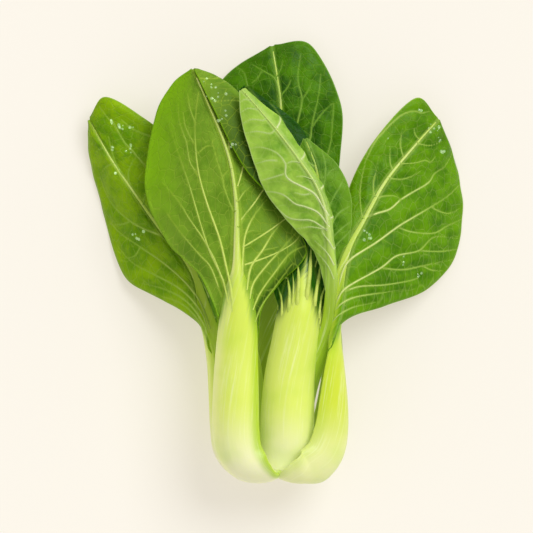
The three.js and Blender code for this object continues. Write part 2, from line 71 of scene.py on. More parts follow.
# %% Smooth lines through points
def along(points, t):
    """A smooth line through the points, of several values each, read at the places t from 0 to 1."""
    points = np.asarray(points, float)
    last = len(points) - 1
    place = np.clip(np.asarray(t, float), 0, 1) * last
    i = np.minimum(place.astype(int), last - 1)
    f = (place - i).reshape((-1,) + (1,) * (points.ndim - 1))
    line = np.concatenate([[2 * points[0] - points[1]], points, [2 * points[-1] - points[-2]]])
    p0, p1, p2, p3 = (line[i + k] for k in range(4))
    v0, v1 = (p2 - p0) / 2, (p3 - p1) / 2
    return (((2 * p1 - 2 * p2 + v0 + v1) * f - 3 * p1 + 3 * p2 - 2 * v0 - v1) * f + v0) * f + p1


def unit(vectors):
    return vectors / np.maximum(np.linalg.norm(vectors, axis=-1, keepdims=True), 1e-12)


def smooth_step(low, high, x):
    """0 below low, 1 above high, and an eased rise between them."""
    t = np.clip((x - low) / (high - low), 0, 1)
    return t * t * (3 - 2 * t)


print("halfway between 0 and 2:", along([[0.0], [1.0], [2.0]], [0.5])[0])

# %% The store of leaves
leaves = {}
print("leaves so far:", len(leaves))

# %% [markdown]
# ### The front left leaf
# The leaf that lies on top shows the pale back of its blade. Its right side is folded forward, so a
# strip of the dark, glossy front shows near the tip. A fold could be made by bending a flat leaf with
# a modifier. Three rails, one for the fold's outer line, one just past it and one for the free
# margin, keep the fold exactly where the solid has it.

# %% The front left leaf's stations and rails
leaves["front_left"] = dict(
    start=7, midrib_end=0.5, left_side=1, cup=0.34, closing=0.2,
    arch=(0.1, 0.05), sweep=(0.16, 0.12), wave=(0.9, 0.3), waves=2.5, phase=0.4,
    stations=[
        (-1.6, -86, 30.8, 7.4, 4.6, 114), (-6.6, -87.8, 34, 10.4, 5.8, 119),
        (-12, -85.2, 36.2, 10.7, 6.8, 118), (-16, -79, 38.2, 10.2, 7.5, 114),
        (-17.6, -70, 39.4, 10.3, 7.6, 111), (-17.5, -56, 40.6, 9.9, 7.4, 108),
        (-16.7, -38, 42, 8.9, 6.6, 102), (-15.9, -24.6, 43, 7.9, 5.8, 98), (-15.7, -15.6, 43.5, 6.5, 5, 96),
        (-15.8, -9, 44, 5, 4.4, 94), (-15.8, -2.5, 44, 3.1, 3.9, 92), (-16, 8, 44, 2.1, 3.3, 90),
        (-16.4, 26, 43, 1.3, 2.6, 90), (-20.5, 47, 40.3, 0.9, 2, 90), (-34, 79, 34, 0.5, 1.2, 90),
    ],
    left=[
        [
            (-23.5, -22, 40.5), (-31.2, -5.3, 37), (-43.5, 6.2, 31), (-51.7, 23.4, 27.5),
            (-53.3, 39.8, 26.5), (-49.6, 60.7, 28), (-41.8, 73.4, 30.5), (-34.6, 79.2, 33.8),
        ],
    ],
    right=[
        [
            (-11, -27, 42), (-10, -17, 42.3), (-5, -8.8, 41), (3, 1, 39),
            (10, 22.5, 34.5), (-3.3, 50, 33.8), (-19.6, 70.8, 33.6), (-33.5, 79.2, 34),
        ],
        [
            (-9, -29, 41.5), (-8, -18, 41.2), (-1.5, -8.5, 39.3), (8.5, 5, 37.5),
            (10, 23, 38.5), (-3.8, 50, 38), (-20, 70.5, 37), (-33.2, 79.1, 34.8),
        ],
        [
            (-7.4, -31.2, 40.5), (-5.7, -18.9, 39.8), (2, -8.2, 37.5), (12.6, 4.5, 37),
            (3, 21, 41.6), (-13, 38.5, 43), (-26.2, 64, 40.2), (-33.4, 78.6, 35.6),
        ],
    ],
)
print("front_left:", len(leaves["front_left"]["stations"]), "stations")

# %% [markdown]
# ### The front centre leaf
# The second stalk lies a little lower, with its blade hidden under its neighbours. Its midrib
# unravels into a fan of side veins. The blade is made whole all the same, because it shows from the
# side.

# %% The front centre leaf's stations and rails
leaves["front_centre"] = dict(
    start=7, midrib_end=0.5, left_side=1, cup=0.42, closing=0,
    arch=(0.04, 0.04), sweep=(0.12, 0.1), wave=(0.8, 0.8), waves=3, phase=1.2,
    stations=[
        (1.8, -87, 33, 5, 3, 88), (2, -84.6, 33.8, 7.6, 4.6, 88), (3, -79.6, 34.1, 9.8, 6.2, 88),
        (4.6, -73, 35.4, 10.9, 7.4, 87), (5, -62, 36.3, 11, 7.6, 87), (5.8, -48, 37, 10.4, 7.4, 86),
        (7.8, -34, 38, 9.6, 6.8, 86), (9.6, -22.5, 38.5, 9.1, 6, 87), (10.4, -14.8, 38, 8, 5, 88),
        (10.8, -8, 37.2, 6.8, 4.2, 90), (12.4, 0, 35, 3.4, 3.6, 90), (13, 10, 31.6, 2.4, 3, 90),
        (10.5, 24, 28.7, 1.6, 2.6, 90), (4, 46, 27, 1, 2, 90), (-12, 72, 25, 0.5, 1.2, 90),
    ],
    left=[
        [
            (2.2, -23, 35.5), (-1, -12, 33), (-7, -2, 31), (-13, 10, 30),
            (-18, 24, 29.5), (-24, 42, 28), (-26, 60, 26.5), (-13, 72.6, 25),
        ],
    ],
    right=[
        [
            (18.2, -26, 34.5), (20.3, -16, 33.5), (19.8, -7, 32), (17.5, 2, 29),
            (18.5, 14, 26), (19.5, 32, 24), (11, 54.5, 23.5), (-11.2, 72, 24.8),
        ],
    ],
)
print("front_centre:", len(leaves["front_centre"]["stations"]), "stations")

# %% [markdown]
# ### The right leaf
# This leaf leans out to the right and turns its front to the viewer. Its stalk twists by almost half
# a turn on the way up. The twist is in the last number of each station, the outer face's direction.

# %% The right leaf's stations and rails
leaves["right"] = dict(
    start=7, midrib_end=0.6, left_side=-1, cup=0.34, closing=0.9,
    arch=(0.05, 0.1), sweep=(0.12, 0.16), wave=(0.6, 0.9), waves=2.5, phase=2,
    stations=[
        (3.4, -86.4, 30.2, 7.4, 4.6, 68), (9, -87.9, 32.8, 10.8, 5.8, 60),
        (15.6, -86.2, 33, 12.2, 6.8, 51),
        (22, -79.4, 32.4, 11.3, 7.4, 40), (24.8, -69, 31.8, 10.5, 7.2, 34), (25.3, -55, 31.6, 9.5, 6.8, 24),
        (24.8, -42, 31.6, 8.5, 6.2, 8), (23.7, -31, 31.6, 7, 5.6, -18), (23.8, -22, 32.2, 5.2, 5, -48),
        (24.8, -14, 32.8, 3.6, 4.4, -74), (26.5, -5, 33, 2.6, 3.9, -84), (30, 6, 31.7, 1.7, 3.2, -88),
        (36, 17, 28.4, 1.3, 2.8, -92), (45, 33, 22.5, 1, 2.3, -95), (57, 47.7, 16.5, 0.7, 1.8, -95),
        (67, 58.8, 11.1, 0.5, 1.2, -95),
    ],
    left=[
        [
            (22.5, -31, 25.5), (22.3, -21, 28.5), (22.8, -12, 30.5), (24.3, -3, 30.5),
            (26.6, 8, 28.5), (28.5, 26, 24), (39, 48, 21.5), (57, 67.3, 15),
            (66.4, 59.6, 11.2),
        ],
    ],
    right=[
        [
            (21, -37, 39), (28, -24.4, 35), (44, -18, 24), (62, -11, 11),
            (74, 1, 4), (76.6, 16, 0.6), (75.8, 31, 0.2), (73, 45, 3),
            (67.5, 58, 10.8),
        ],
    ],
)
print("right:", len(leaves["right"]["stations"]), "stations")

# %% [markdown]
# ### The left leaf
# The left leaf is the mirror habit of the right one: it leans out and droops to the table, and its
# stalk twists the other way. Its outer margin lies lowest.

# %% The left leaf's stations and rails
leaves["left"] = dict(
    start=7, midrib_end=0.6, left_side=-1, cup=0.34, closing=0,
    arch=(0.1, 0.05), sweep=(0.16, 0.1), wave=(0.9, 0.7), waves=2.5, phase=0.9,
    stations=[
        (-6.8, -83, 24, 4.6, 4.4, 186), (-11.8, -85.8, 23.2, 8, 5.6, 188),
        (-17.4, -84, 22.2, 9.8, 6.6, 190), (-22, -77.5, 20.8, 10.6, 7, 191),
        (-23.4, -68, 20.2, 10.6, 7, 192), (-24.2, -54, 20.8, 9.8, 6.6, 194),
        (-25.2, -41, 22, 8.4, 5.8, 199), (-26.8, -31, 23, 6.6, 5, 208), (-28.2, -25, 23.2, 5.2, 4.6, 224),
        (-29.8, -18, 22.8, 3.8, 4.2, 242), (-32.4, -7.5, 21, 2.5, 3.5, 256),
        (-38.5, 2.5, 18.7, 1.7, 2.9, 262),
        (-47, 12.5, 16, 1.3, 2.5, 265), (-57, 26.4, 13.2, 1, 2.1, 266), (-68, 42.4, 10.6, 0.7, 1.7, 266),
        (-77, 58.6, 8, 0.5, 1.2, 266),
    ],
    left=[
        [
            (-26.4, -37.5, 30.4), (-32, -25, 25), (-46.5, -16, 15), (-60.5, -7.5, 4.5),
            (-67.4, 8, 1), (-72.6, 23, 0.6), (-75.8, 38, 1.8), (-77.2, 50, 4.5),
            (-77.3, 57.4, 7.7),
        ],
    ],
    right=[
        [
            (-24.2, -32, 19.5), (-24.2, -23, 18), (-22.5, -9, 15.5), (-21.5, 10, 13.5),
            (-26, 29, 13.5), (-38, 46, 14.3), (-54, 59, 14.5), (-70, 68, 12.5),
            (-76.7, 59.8, 8.3),
        ],
    ],
)
print("left:", len(leaves["left"]["stations"]), "stations")

# %% [markdown]
# ### The top back leaf
# The leaf under all the others carries the head's weight. Its stalk has the small flat spot that the
# head rests on, and its blade shows above the others with its front up.

# %% The top back leaf's stations and rails
leaves["top_back"] = dict(
    start=6, midrib_end=0.5, left_side=-1, cup=0.3, closing=0,
    arch=(0.05, 0.06), sweep=(0.14, 0.14), wave=(0.9, 0.9), waves=3, phase=0,
    stations=[
        (2.2, -83, 16.6, 4.8, 4.4, 276), (2.8, -85.8, 12.6, 8.4, 5.8, 278),
        (3.4, -83.6, 8.4, 10.6, 6.6, 278),
        (3.2, -74.5, 4.2, 11.4, 7, 277), (1.4, -57, 2.9, 11, 6.9, 275), (-0.6, -37, 3.5, 9, 6.2, 272),
        (-1, -18, 5.8, 7, 5.4, 270), (-0.6, -6, 7.2, 5.4, 4.8, 270), (0, 6, 8.2, 4.2, 4.2, 270),
        (0.8, 19, 9, 3.2, 3.7, 270), (1.5, 34, 10, 2.3, 3.1, 270), (2.3, 50, 11, 1.6, 2.5, 270),
        (1.8, 67, 12, 0.8, 1.9, 270), (-1.5, 89, 9, 0.5, 1.2, 270),
    ],
    left=[
        [
            (-8.6, -16, 7), (-17, -4, 8), (-25, 11, 8), (-31, 28, 7.5),
            (-33, 45, 6.5), (-29, 62, 6), (-19.5, 78, 6.5), (-2.6, 88.9, 8.8),
        ],
    ],
    right=[
        [
            (6.6, -16, 7), (13, -4, 8), (19, 10, 8.5), (24, 26, 9),
            (26.6, 44, 9.5), (26.3, 66, 9), (14.4, 89.4, 8.5), (-0.4, 89.6, 9),
        ],
    ],
)
print("top_back:", len(leaves["top_back"]["stations"]), "stations")

# %% [markdown]
# ### The back left leaf
# A smaller leaf between the left ones. Only a strip of its stalk shows from above, but it fills the
# head from the side.

# %% The back left leaf's stations and rails
leaves["back_left"] = dict(
    start=7, midrib_end=0.4, left_side=-1, cup=0.32, closing=0,
    arch=(0.04, 0.04), sweep=(0.12, 0.12), wave=(0.7, 0.7), waves=2.5, phase=0.6,
    stations=[
        (-4.4, -82.6, 18.8, 4, 4.2, 226), (-7.4, -85.2, 15.4, 6.6, 5.2, 228),
        (-9.8, -82.6, 12, 8.2, 5.8, 230),
        (-12, -74, 9, 8.8, 6, 232), (-12.8, -57, 8.8, 8.2, 5.8, 234), (-13.8, -43, 11.2, 7.4, 5.4, 237),
        (-16.2, -31, 16, 6.4, 4.9, 242), (-20, -22, 20, 5.6, 4.4, 250), (-23.4, -13, 22.6, 4.4, 3.8, 259),
        (-25.2, -3, 23.8, 3.2, 3.3, 266), (-25.6, 9, 24, 2.2, 2.8, 270), (-24.4, 24, 23.8, 1.5, 2.4, 270),
        (-21.5, 41, 23.2, 0.9, 1.9, 270), (-17.5, 56, 22.5, 0.5, 1.2, 270),
    ],
    left=[
        [
            (-25.6, -20, 21), (-31, -8, 20.6), (-37, 5, 20.4), (-40, 20, 20.2),
            (-38.5, 35, 20.2), (-31, 49, 21), (-18.4, 56.2, 22.3),
        ],
    ],
    right=[
        [
            (-15.2, -22.5, 19.5), (-11, -11, 20.4), (-8, 3, 20.8), (-6.5, 17, 21),
            (-6.5, 31, 21), (-9.5, 46, 21.4), (-16.6, 56.2, 22.4),
        ],
    ],
)
print("back_left:", len(leaves["back_left"]["stations"]), "stations")

# %% [markdown]
# ### The inner right leaf
# A small dark leaf that stands out between the curled leaf and the right one, front to the viewer.

# %% The inner right leaf's stations and rails
leaves["inner_right"] = dict(
    start=7, midrib_end=0.4, left_side=-1, cup=0.32, closing=0,
    arch=(0.05, 0.08), sweep=(0.12, 0.14), wave=(0.5, 0.6), waves=2.5, phase=1.5,
    stations=[
        (7.4, -82.6, 19.4, 4, 4.2, 318), (11, -85.2, 16.8, 6.6, 5, 320), (14.8, -82.4, 14, 8, 5.6, 322),
        (19.8, -74, 11.6, 8.2, 5.8, 325), (23, -58, 11.8, 7.4, 5.4, 330), (24.4, -44, 15, 6.4, 4.9, 330),
        (24, -30, 20, 5.4, 4.4, 322), (22, -17, 25, 4.4, 3.9, 310), (20.7, -7, 28.8, 3.5, 3.4, 297),
        (20, 2, 31.8, 2.7, 3, 288), (19.5, 12, 34.4, 2, 2.7, 283), (18.5, 24, 36, 1.4, 2.3, 279),
        (16.5, 38, 36.3, 0.9, 1.8, 275), (12, 50.5, 35, 0.5, 1.2, 275),
    ],
    left=[
        [
            (18.6, -16, 26.5), (17.2, -7, 29.5), (14.5, 3, 32.6), (11, 14, 34),
            (8, 27, 34.8), (7.5, 41, 34.8), (11.2, 50.6, 34.8),
        ],
    ],
    right=[
        [
            (25.4, -15.5, 26), (26.6, -5, 28), (28.4, 5, 30.4), (31.2, 16.5, 33),
            (30.4, 28, 34), (24.5, 40.5, 34.4), (12.8, 50.6, 34.8),
        ],
    ],
)
print("inner_right:", len(leaves["inner_right"]["stations"]), "stations")

# %% [markdown]
# ### The curled leaf
# A young leaf that rolls inward round its midrib. Its back, with close cross veins, faces the viewer,
# and its right side turns under, which three rails describe as on the folded leaf.

# %% The curled leaf's stations and rails
leaves["curled"] = dict(
    start=6, midrib_end=0.4, left_side=1, cup=0.3, closing=0,
    arch=(0.12, 0.05), sweep=(0.05, 0.02), wave=(0.5, 0.2), waves=3, phase=0.3,
    stations=[
        (6.6, -78.5, 27.2, 4, 3.8, 60), (8, -75, 27.4, 5.2, 4.2, 56), (9.6, -68, 27.8, 6.2, 4.6, 53),
        (12.4, -55, 27.8, 6.6, 4.5, 48), (17.8, -40, 30, 4.9, 3.9, 38), (21.4, -26, 34, 3.2, 3.2, 40),
        (22.8, -12, 38.8, 2.5, 3.1, 66), (22.8, -3, 42.3, 2, 2.8, 82), (21.8, 8, 45.7, 1.5, 2.5, 88),
        (20.3, 20, 48.2, 1.2, 2.2, 86), (16.4, 31, 49.4, 1, 2, 84), (8.7, 42.5, 49.4, 0.8, 1.8, 84),
        (-0.8, 55, 47.4, 0.6, 1.5, 86), (-14, 70.5, 43.6, 0.5, 1.2, 90),
    ],
    left=[
        [
            (20.2, -11, 38), (17.5, 0, 40), (12, 9, 42), (4, 18, 43.6),
            (-4.5, 28.5, 44.6), (-9, 41, 45), (-14.2, 58, 44), (-15, 70, 43.3),
        ],
    ],
    right=[
        [
            (24.2, -11, 38), (24.5, -2, 40.3), (23.9, 8, 43.4), (22.8, 20, 45.8),
            (18.6, 32, 47.5), (11.5, 44.5, 47.5), (2.2, 58, 45.6), (-12.8, 71, 43.4),
        ],
        [
            (23.8, -11, 36.4), (23.9, -2, 38), (23, 8, 40.2), (21.5, 20, 42.2),
            (17, 32, 43.2), (10, 44.5, 43.2), (1, 58, 42.2), (-12.5, 71, 42.6),
        ],
        [
            (22.6, -11, 35.4), (21.8, -2, 37), (19.5, 8, 38.4), (16, 19, 39.8),
            (10.5, 30, 40.6), (3.6, 42, 41), (-4, 56, 41), (-13.2, 70.6, 42.3),
        ],
    ],
)
print("curled:", len(leaves["curled"]["stations"]), "stations")

# %% [markdown]
# ## The stalks
# A real stalk is a thick, juicy trough: round outside, with its two edges bent inward and faint ribs
# running along it. It thins into the midrib and ends at the leaf's tip. A bevelled curve would give a
# round rod. Here a flat grid is rolled round the stations instead, so the section can be a crescent
# that changes on the way up. The seam is then welded and the two ends are filled.

# %% Where a stalk is and which way it looks
TINY_STEP = 0.004


def stalk_frame(leaf, t):
    """The stations at t, the way the stalk runs, the way its outer face looks, and the way across."""
    station = along(leaf["stations"], t)
    ahead = along(leaf["stations"], np.minimum(t + TINY_STEP, 1))[:, :3]
    behind = along(leaf["stations"], np.maximum(t - TINY_STEP, 0))[:, :3]
    run = unit(ahead - behind)
    angle = np.radians(station[:, 5])
    radial = np.stack([np.cos(angle), 0 * angle, np.sin(angle)], 1)
    lean = np.sum(run * radial, 1, keepdims=True)
    outer = unit(radial * run[:, 1:2] - np.array([0.0, 1.0, 0.0]) * lean)
    return station, run, outer, np.cross(outer, run)


def blade_start(leaf):
    """How far along the stations the blade starts, from 0 to 1."""
    return leaf["start"] / (len(leaf["stations"]) - 1)


print("blades start at:", {name: round(blade_start(leaf), 2) for name, leaf in leaves.items()})

# %% How the stalk's section changes on the way up
CUPPED_FROM = 0.22
CLOSED_BY = 0.07
OPEN_BY = 0.16
FINE_MIDRIB = 0.2
FINER_MIDRIBS = {
    "curled": 0.35, "left": 0.5, "right": 0.35, "top_back": 0.4, "front_left": 0.35, "inner_right": 0.45,
}
for name, leaf in leaves.items():
    leaf["slimmer"] = FINER_MIDRIBS.get(name, FINE_MIDRIB)


def half_width(leaf, station, t):
    """Half the stalk's width: the finished midrib is slimmer than the solid's, as in the photo."""
    start = blade_start(leaf)
    return station[:, 3] * (1 - leaf["slimmer"] * smooth_step(start + 0.06, start + 0.3, t))


def cup_at(leaf, t):
    """How far the stalk's edges bend inward, as a share of its half width."""
    leaning = smooth_step(0, CLOSED_BY, t) * (1 - smooth_step(CLOSED_BY, OPEN_BY, t))
    return leaf["cup"] * (smooth_step(-CUPPED_FROM, CUPPED_FROM, t) + leaf["closing"] * leaning)


print("the right stalk's cup at the root and above:", cup_at(leaves["right"], np.array([0, 0.3])).round(2))

# %% The faint ribs along a stalk
RIB_MM = 0.07
RIBS_ACROSS = (30, 47)
SMOOTH_EDGE = 0.82


def ribs_at(side, face, t):
    """Two waves of unlike width, on the outer face only and gone before the edges."""
    wander = side + 0.02 * np.sin(9 * t + 5 * side)
    ribs = RIB_MM * (np.cos(RIBS_ACROSS[0] * wander) + 0.6 * np.cos(RIBS_ACROSS[1] * wander + 1))
    return ribs * np.clip(face, 0, 1) * (1 - smooth_step(SMOOTH_EDGE, 1, np.abs(side)))


print("rib height on a stalk's middle:", ribs_at(np.zeros(1), np.ones(1), np.zeros(1)).round(3), "mm")

# %% The stalk's skin
def stalk_points(leaf, turn, t):
    """Points on a stalk's skin, turn round it and t along it."""
    station, run, outer, across = stalk_frame(leaf, t)
    start = blade_start(leaf)
    in_blade = smooth_step(start, start + 0.15, t)
    half = half_width(leaf, station, t)
    thick = station[:, 4] / 2
    side, face = np.cos(turn), np.sin(turn)
    flat = np.where(face < 0, 1 - 0.5 * in_blade, 1)
    ribs = ribs_at(side, face, t) * (1 - in_blade)
    outwards = face * thick * flat + ribs - cup_at(leaf, t) * half * side**2
    skin = station[:, :3] + across * (side * half)[:, None] + outer * outwards[:, None]
    skin[:, 2] = np.maximum(skin[:, 2], 0.0)  # the table presses the lowest stalk flat
    return skin


root = stalk_points(leaves["right"], np.array([0.0]), np.array([0.0]))
print("the right stalk's skin starts at:", root[0].round(1))

# %% A mesh grid that any formula can shape
def shaped_grid(columns, rows, place):
    """A flat grid, moved point by point to where place(a, b) says; a and b run from 0 to 1."""
    grid = bmesh.new()
    bmesh.ops.create_grid(grid, x_segments=columns, y_segments=rows, size=0.5)
    flat = np.array([vertex.co[:2] for vertex in grid.verts]) + 0.5
    for vertex, spot in zip(grid.verts, place(flat[:, 0], flat[:, 1])):
        vertex.co = spot
    return grid, flat


def finish_object(name, shape, attributes=None, uv=None):
    """Turns a bmesh into an object, with smooth shading, its own map and its own measures."""
    mesh = bpy.data.meshes.new(name)
    shape.to_mesh(mesh)
    shape.free()
    for key, values in (attributes or {}).items():
        mesh.attributes.new(key, "FLOAT", "POINT").data.foreach_set("value", np.float32(values))
    if uv is not None:
        corner = np.empty(len(mesh.loops), int)
        mesh.loops.foreach_get("vertex_index", corner)
        mesh.uv_layers.new(name="leafmap").data.foreach_set("uv", np.float32(uv[corner]).ravel())
    mesh.shade_smooth()
    made = bpy.data.objects.new(name, mesh)
    bpy.context.scene.collection.objects.link(made)
    return made


def count_triangles(made):
    return sum(len(face.vertices) - 2 for face in made.data.polygons)


sample, sample_flat = shaped_grid(2, 3, lambda a, b: np.stack([a, b, 0 * a], 1))
print("points of a grid with 2 by 3 cells:", len(sample.verts))
sample.free()

# %% Roll each stalk and close it
STALK_SIDES = 56
STALK_ROWS = 150
STALK_TIP = 0.992
WELD = 1e-7


def close_tube(made):
    """Welds the seam of a rolled grid and fills its two open ends."""
    shape = bmesh.new()
    shape.from_mesh(made.data)
    bmesh.ops.remove_doubles(shape, verts=shape.verts, dist=WELD)
    ends = [edge for edge in shape.edges if edge.is_boundary]
    bmesh.ops.holes_fill(shape, edges=ends, sides=0)
    bmesh.ops.recalc_face_normals(shape, faces=shape.faces)
    shape.to_mesh(made.data)
    shape.free()
    made.data.shade_smooth()


def make_stalk(name, leaf):
    """The stalk with its map, in millimetres round it and along it, and with three measures."""
    def place(a, b):
        return stalk_points(leaf, 2 * math.pi * a, b * STALK_TIP) * MM

    grid, flat = shaped_grid(STALK_SIDES, STALK_ROWS, place)
    turn, t = 2 * math.pi * flat[:, 0], flat[:, 1] * STALK_TIP
    station = along(leaf["stations"], t)
    marks = np.linspace(0, STALK_TIP, 200)
    pieces = np.diff(along(leaf["stations"], marks)[:, :3], axis=0)
    travelled = np.concatenate([[0], np.cumsum(np.linalg.norm(pieces, axis=1))])
    uv = np.stack([turn * station[:, 3] / 2, np.interp(t, marks, travelled)], 1)
    measures = {"side": np.cos(turn), "face": np.sin(turn), "rise": t - blade_start(leaf)}
    made = finish_object(f"{name}_stalk_form", grid, measures, uv)
    close_tube(made)
    return made


stalks = {name: make_stalk(name, leaf) for name, leaf in leaves.items()}
print("stalk triangles:", sum(count_triangles(stalk) for stalk in stalks.values()))

# %% [markdown]
# ## The blades
# A blade is a thin sheet on both sides of the stalk. It could be cut out of a plane and bent, but a real
# blade swells between its veins, ripples at the margin and, on two leaves, folds over. So each blade is
# worked out as rows of points that run like the side veins, from the left margin, across the stalk, to
# the right one. A grid then takes that form and Solidify gives it its thickness.

# %% One side of a blade
def side_line(leaf, which, reach, run, edge, u):
    """The points at that reach, 0 at the stalk's edge and 1 at the margin, for every row u."""
    rails = leaf[("left", "right")[which]]
    if len(rails) > 1:
        line = np.stack([edge] + [along(rail, u) for rail in rails])
        return along(line, [reach])[0]
    margin = along(rails[0], u)
    span = np.linalg.norm(margin - edge, axis=1, keepdims=True)
    bend = (edge + margin) / 2 + run * leaf["sweep"][which] * span
    bend = bend + np.array([0, 0, leaf["arch"][which]]) * span
    return (1 - reach) ** 2 * edge + 2 * reach * (1 - reach) * bend + reach**2 * margin


print("leaves with a folded side:", [name for name, leaf in leaves.items() if len(leaf["right"]) > 1])

# %% The whole sheet, row by row
MIDDLE = 4  # columns that lie on the stalk itself


def plain_sheet(leaf):
    """The points, rows by columns, each column's reach (below 0 on the left), and the rows' places."""
    left, right, rows = leaf["cells"]
    u = np.linspace(0, 1, rows + 1)
    start = blade_start(leaf)
    station, run, outer, across = stalk_frame(leaf, start + (1 - start) * u)
    half = station[:, 3:4]

    def on_stalk(x):
        return station[:, :3] + across * x * half - outer * leaf["cup"] * half * x**2

    edges = [on_stalk(leaf["left_side"]), on_stalk(-leaf["left_side"])]
    columns, reach = [], []
    for k in range(left):
        reach.append(-(1 - k / left))
        columns.append(side_line(leaf, 0, -reach[-1], run, edges[0], u))
    for k in range(MIDDLE + 1):
        reach.append(0.0)
        columns.append(on_stalk(leaf["left_side"] * (1 - 2 * k / MIDDLE)))
    for k in range(1, right + 1):
        reach.append(k / right)
        columns.append(side_line(leaf, 1, reach[-1], run, edges[1], u))
    return np.stack(columns, 1), np.array(reach), u, outer


def sheet_normals(sheet):
    """The way each point of the sheet faces."""
    down, over = np.gradient(sheet, axis=0), np.gradient(sheet, axis=1)
    return unit(np.cross(over, down))


print("columns on the stalk itself:", MIDDLE + 1)

# %% Ripples at the margin
SMALL_WAVE_MM = 0.22
DIMPLE_MM = 0.25
LOWEST_MM = 0.3


def small_ripples(far, fade, turns):
    """Short waves at the margin, and shallow dimples all over the blade."""
    waves = SMALL_WAVE_MM * far**4 * fade * np.sin(3.7 * turns + 1)
    dimples = DIMPLE_MM * np.minimum(far * 3, 1) * fade
    return waves, dimples * np.sin(9 * far + 2.3 * turns) * np.cos(1.7 * turns + 5 * far)


def rippled_sheet(leaf):
    """The sheet with its long waves, the same as the solid's, and smaller ones on top."""
    sheet, reach, u, outer = plain_sheet(leaf)
    normals = sheet_normals(sheet)
    middle = leaf["cells"][0] + MIDDLE // 2
    facing = 1.0 if np.sum(normals[:, middle] * outer) > 0 else -1.0
    which = (reach > 0).astype(int)
    far = np.abs(reach)[None, :]
    fade = np.sin(math.pi * u)[:, None]
    turns = 2 * math.pi * leaf["waves"] * u[:, None] + leaf["phase"] + which[None, :]
    height = np.array(leaf["wave"])[which][None, :] * far**3 * fade * np.sin(turns)
    for ripple in small_ripples(far, fade, turns):
        height = height + ripple
    sheet = sheet + normals * height[..., None]
    sheet[..., 2] = np.maximum(sheet[..., 2], LOWEST_MM)
    return sheet, reach, facing


print("no blade lies lower than", LOWEST_MM, "mm")

# %% How finely each blade is divided: columns on the left, columns on the right, rows
CELLS = {
    "front_left": (70, 84, 170), "front_centre": (44, 30, 110), "right": (44, 92, 170),
    "left": (84, 56, 170), "top_back": (56, 56, 170), "back_left": (28, 28, 90),
    "inner_right": (30, 36, 120), "curled": (64, 50, 170),
}
for name, cells in CELLS.items():
    leaves[name]["cells"] = cells
sheets = {name: rippled_sheet(leaf) for name, leaf in leaves.items()}
print("rows by columns:", {name: made[0].shape[:2] for name, made in sheets.items()})

# %% [markdown]
# ## The veins
# Side veins leave the stalk low and run out to the margin, thick and pale at first and hair-thin at the
# end. On the back of a leaf they stand up as ridges; on the front they lie in shallow valleys. Paint
# alone would look flat, so each vein is a tapered tube half sunk in the blade, and the blade swells
# between them. Where the photo shows a vein, its line was read off in photo points, from the stalk
# outwards, and is laid on the leaf by looking straight down. The rest follow the leaf's own rows.

# %% Photo points to millimetres
PHOTO_MIDDLE = (276, 262)


def from_photo(points):
    """Turns places read off the photo, across and down, into x and y."""
    points = np.array(points, float)
    return np.stack([points[:, 0] - PHOTO_MIDDLE[0], PHOTO_MIDDLE[1] - points[:, 1]], 1) * PHOTO_MM


print("the photo's middle lies at", from_photo([PHOTO_MIDDLE])[0])

# %% The veins that show on the front left leaf: radius at the stalk and at the end, then the line
seen = {}
seen["front_left"] = [
    (0.7, 0.3, [(233, 312), (231, 288), (226.7, 268), (219.5, 238), (207.4, 204), (198.8, 173),
                (195.4, 140), (196, 114), (198.8, 92)]),
    (0.55, 0.26, [(229, 305), (223, 280), (209, 249), (199, 218), (190, 187), (180, 157.5), (169, 124)]),
    (0.5, 0.26, [(224.7, 287), (216, 262.5), (204, 240), (190, 219.5), (178, 200.5), (162, 182)]),
    (0.42, 0.25, [(222, 296), (211, 267.7), (199, 254), (180, 231.5), (167, 213)]),
    (0.34, 0.24, [(198.5, 176), (190, 161.7), (186.7, 143), (180, 123), (178, 104)]),
    (0.32, 0.24, [(233, 210), (225, 190), (222.5, 178), (217, 160), (212, 140)]),
    (0.3, 0.24, [(195.4, 146), (186, 128), (183, 112)]),
    (0.3, 0.24, [(196, 125), (190, 108), (188, 94)]),
    (0.3, 0.24, [(222, 178), (228, 171), (233, 168)]),
    (0.3, 0.24, [(199, 153), (206, 147), (213, 146)]),
    (0.45, 0.28, [(238.5, 200.7), (244, 192.6), (253.5, 184.6)]),
    (0.65, 0.35, [(242.4, 276), (242.8, 256), (245.4, 235), (253.5, 216.7), (267, 199.5)]),
    (0.65, 0.35, [(246.5, 290), (251, 267), (262.7, 250), (271.8, 235), (284, 219)]),
    (0.55, 0.3, [(249.5, 299), (253.5, 283), (267, 265), (283, 247.7), (296, 232.8)]),
    (0.5, 0.28, [(252.5, 310), (260.4, 292.5), (275, 272), (290, 253.5), (306, 245.4)]),
    (0.38, 0.26, [(255, 322), (262, 305), (277, 284), (292, 264)]),
    (0.3, 0.24, [(262.7, 250), (270, 249), (279, 247)]),
    (0.3, 0.24, [(246, 233), (252, 231), (262, 232)]),
    (0.3, 0.24, [(240, 226), (246, 214), (256, 200)]),
]
print("front_left:", len(seen["front_left"]), "veins")

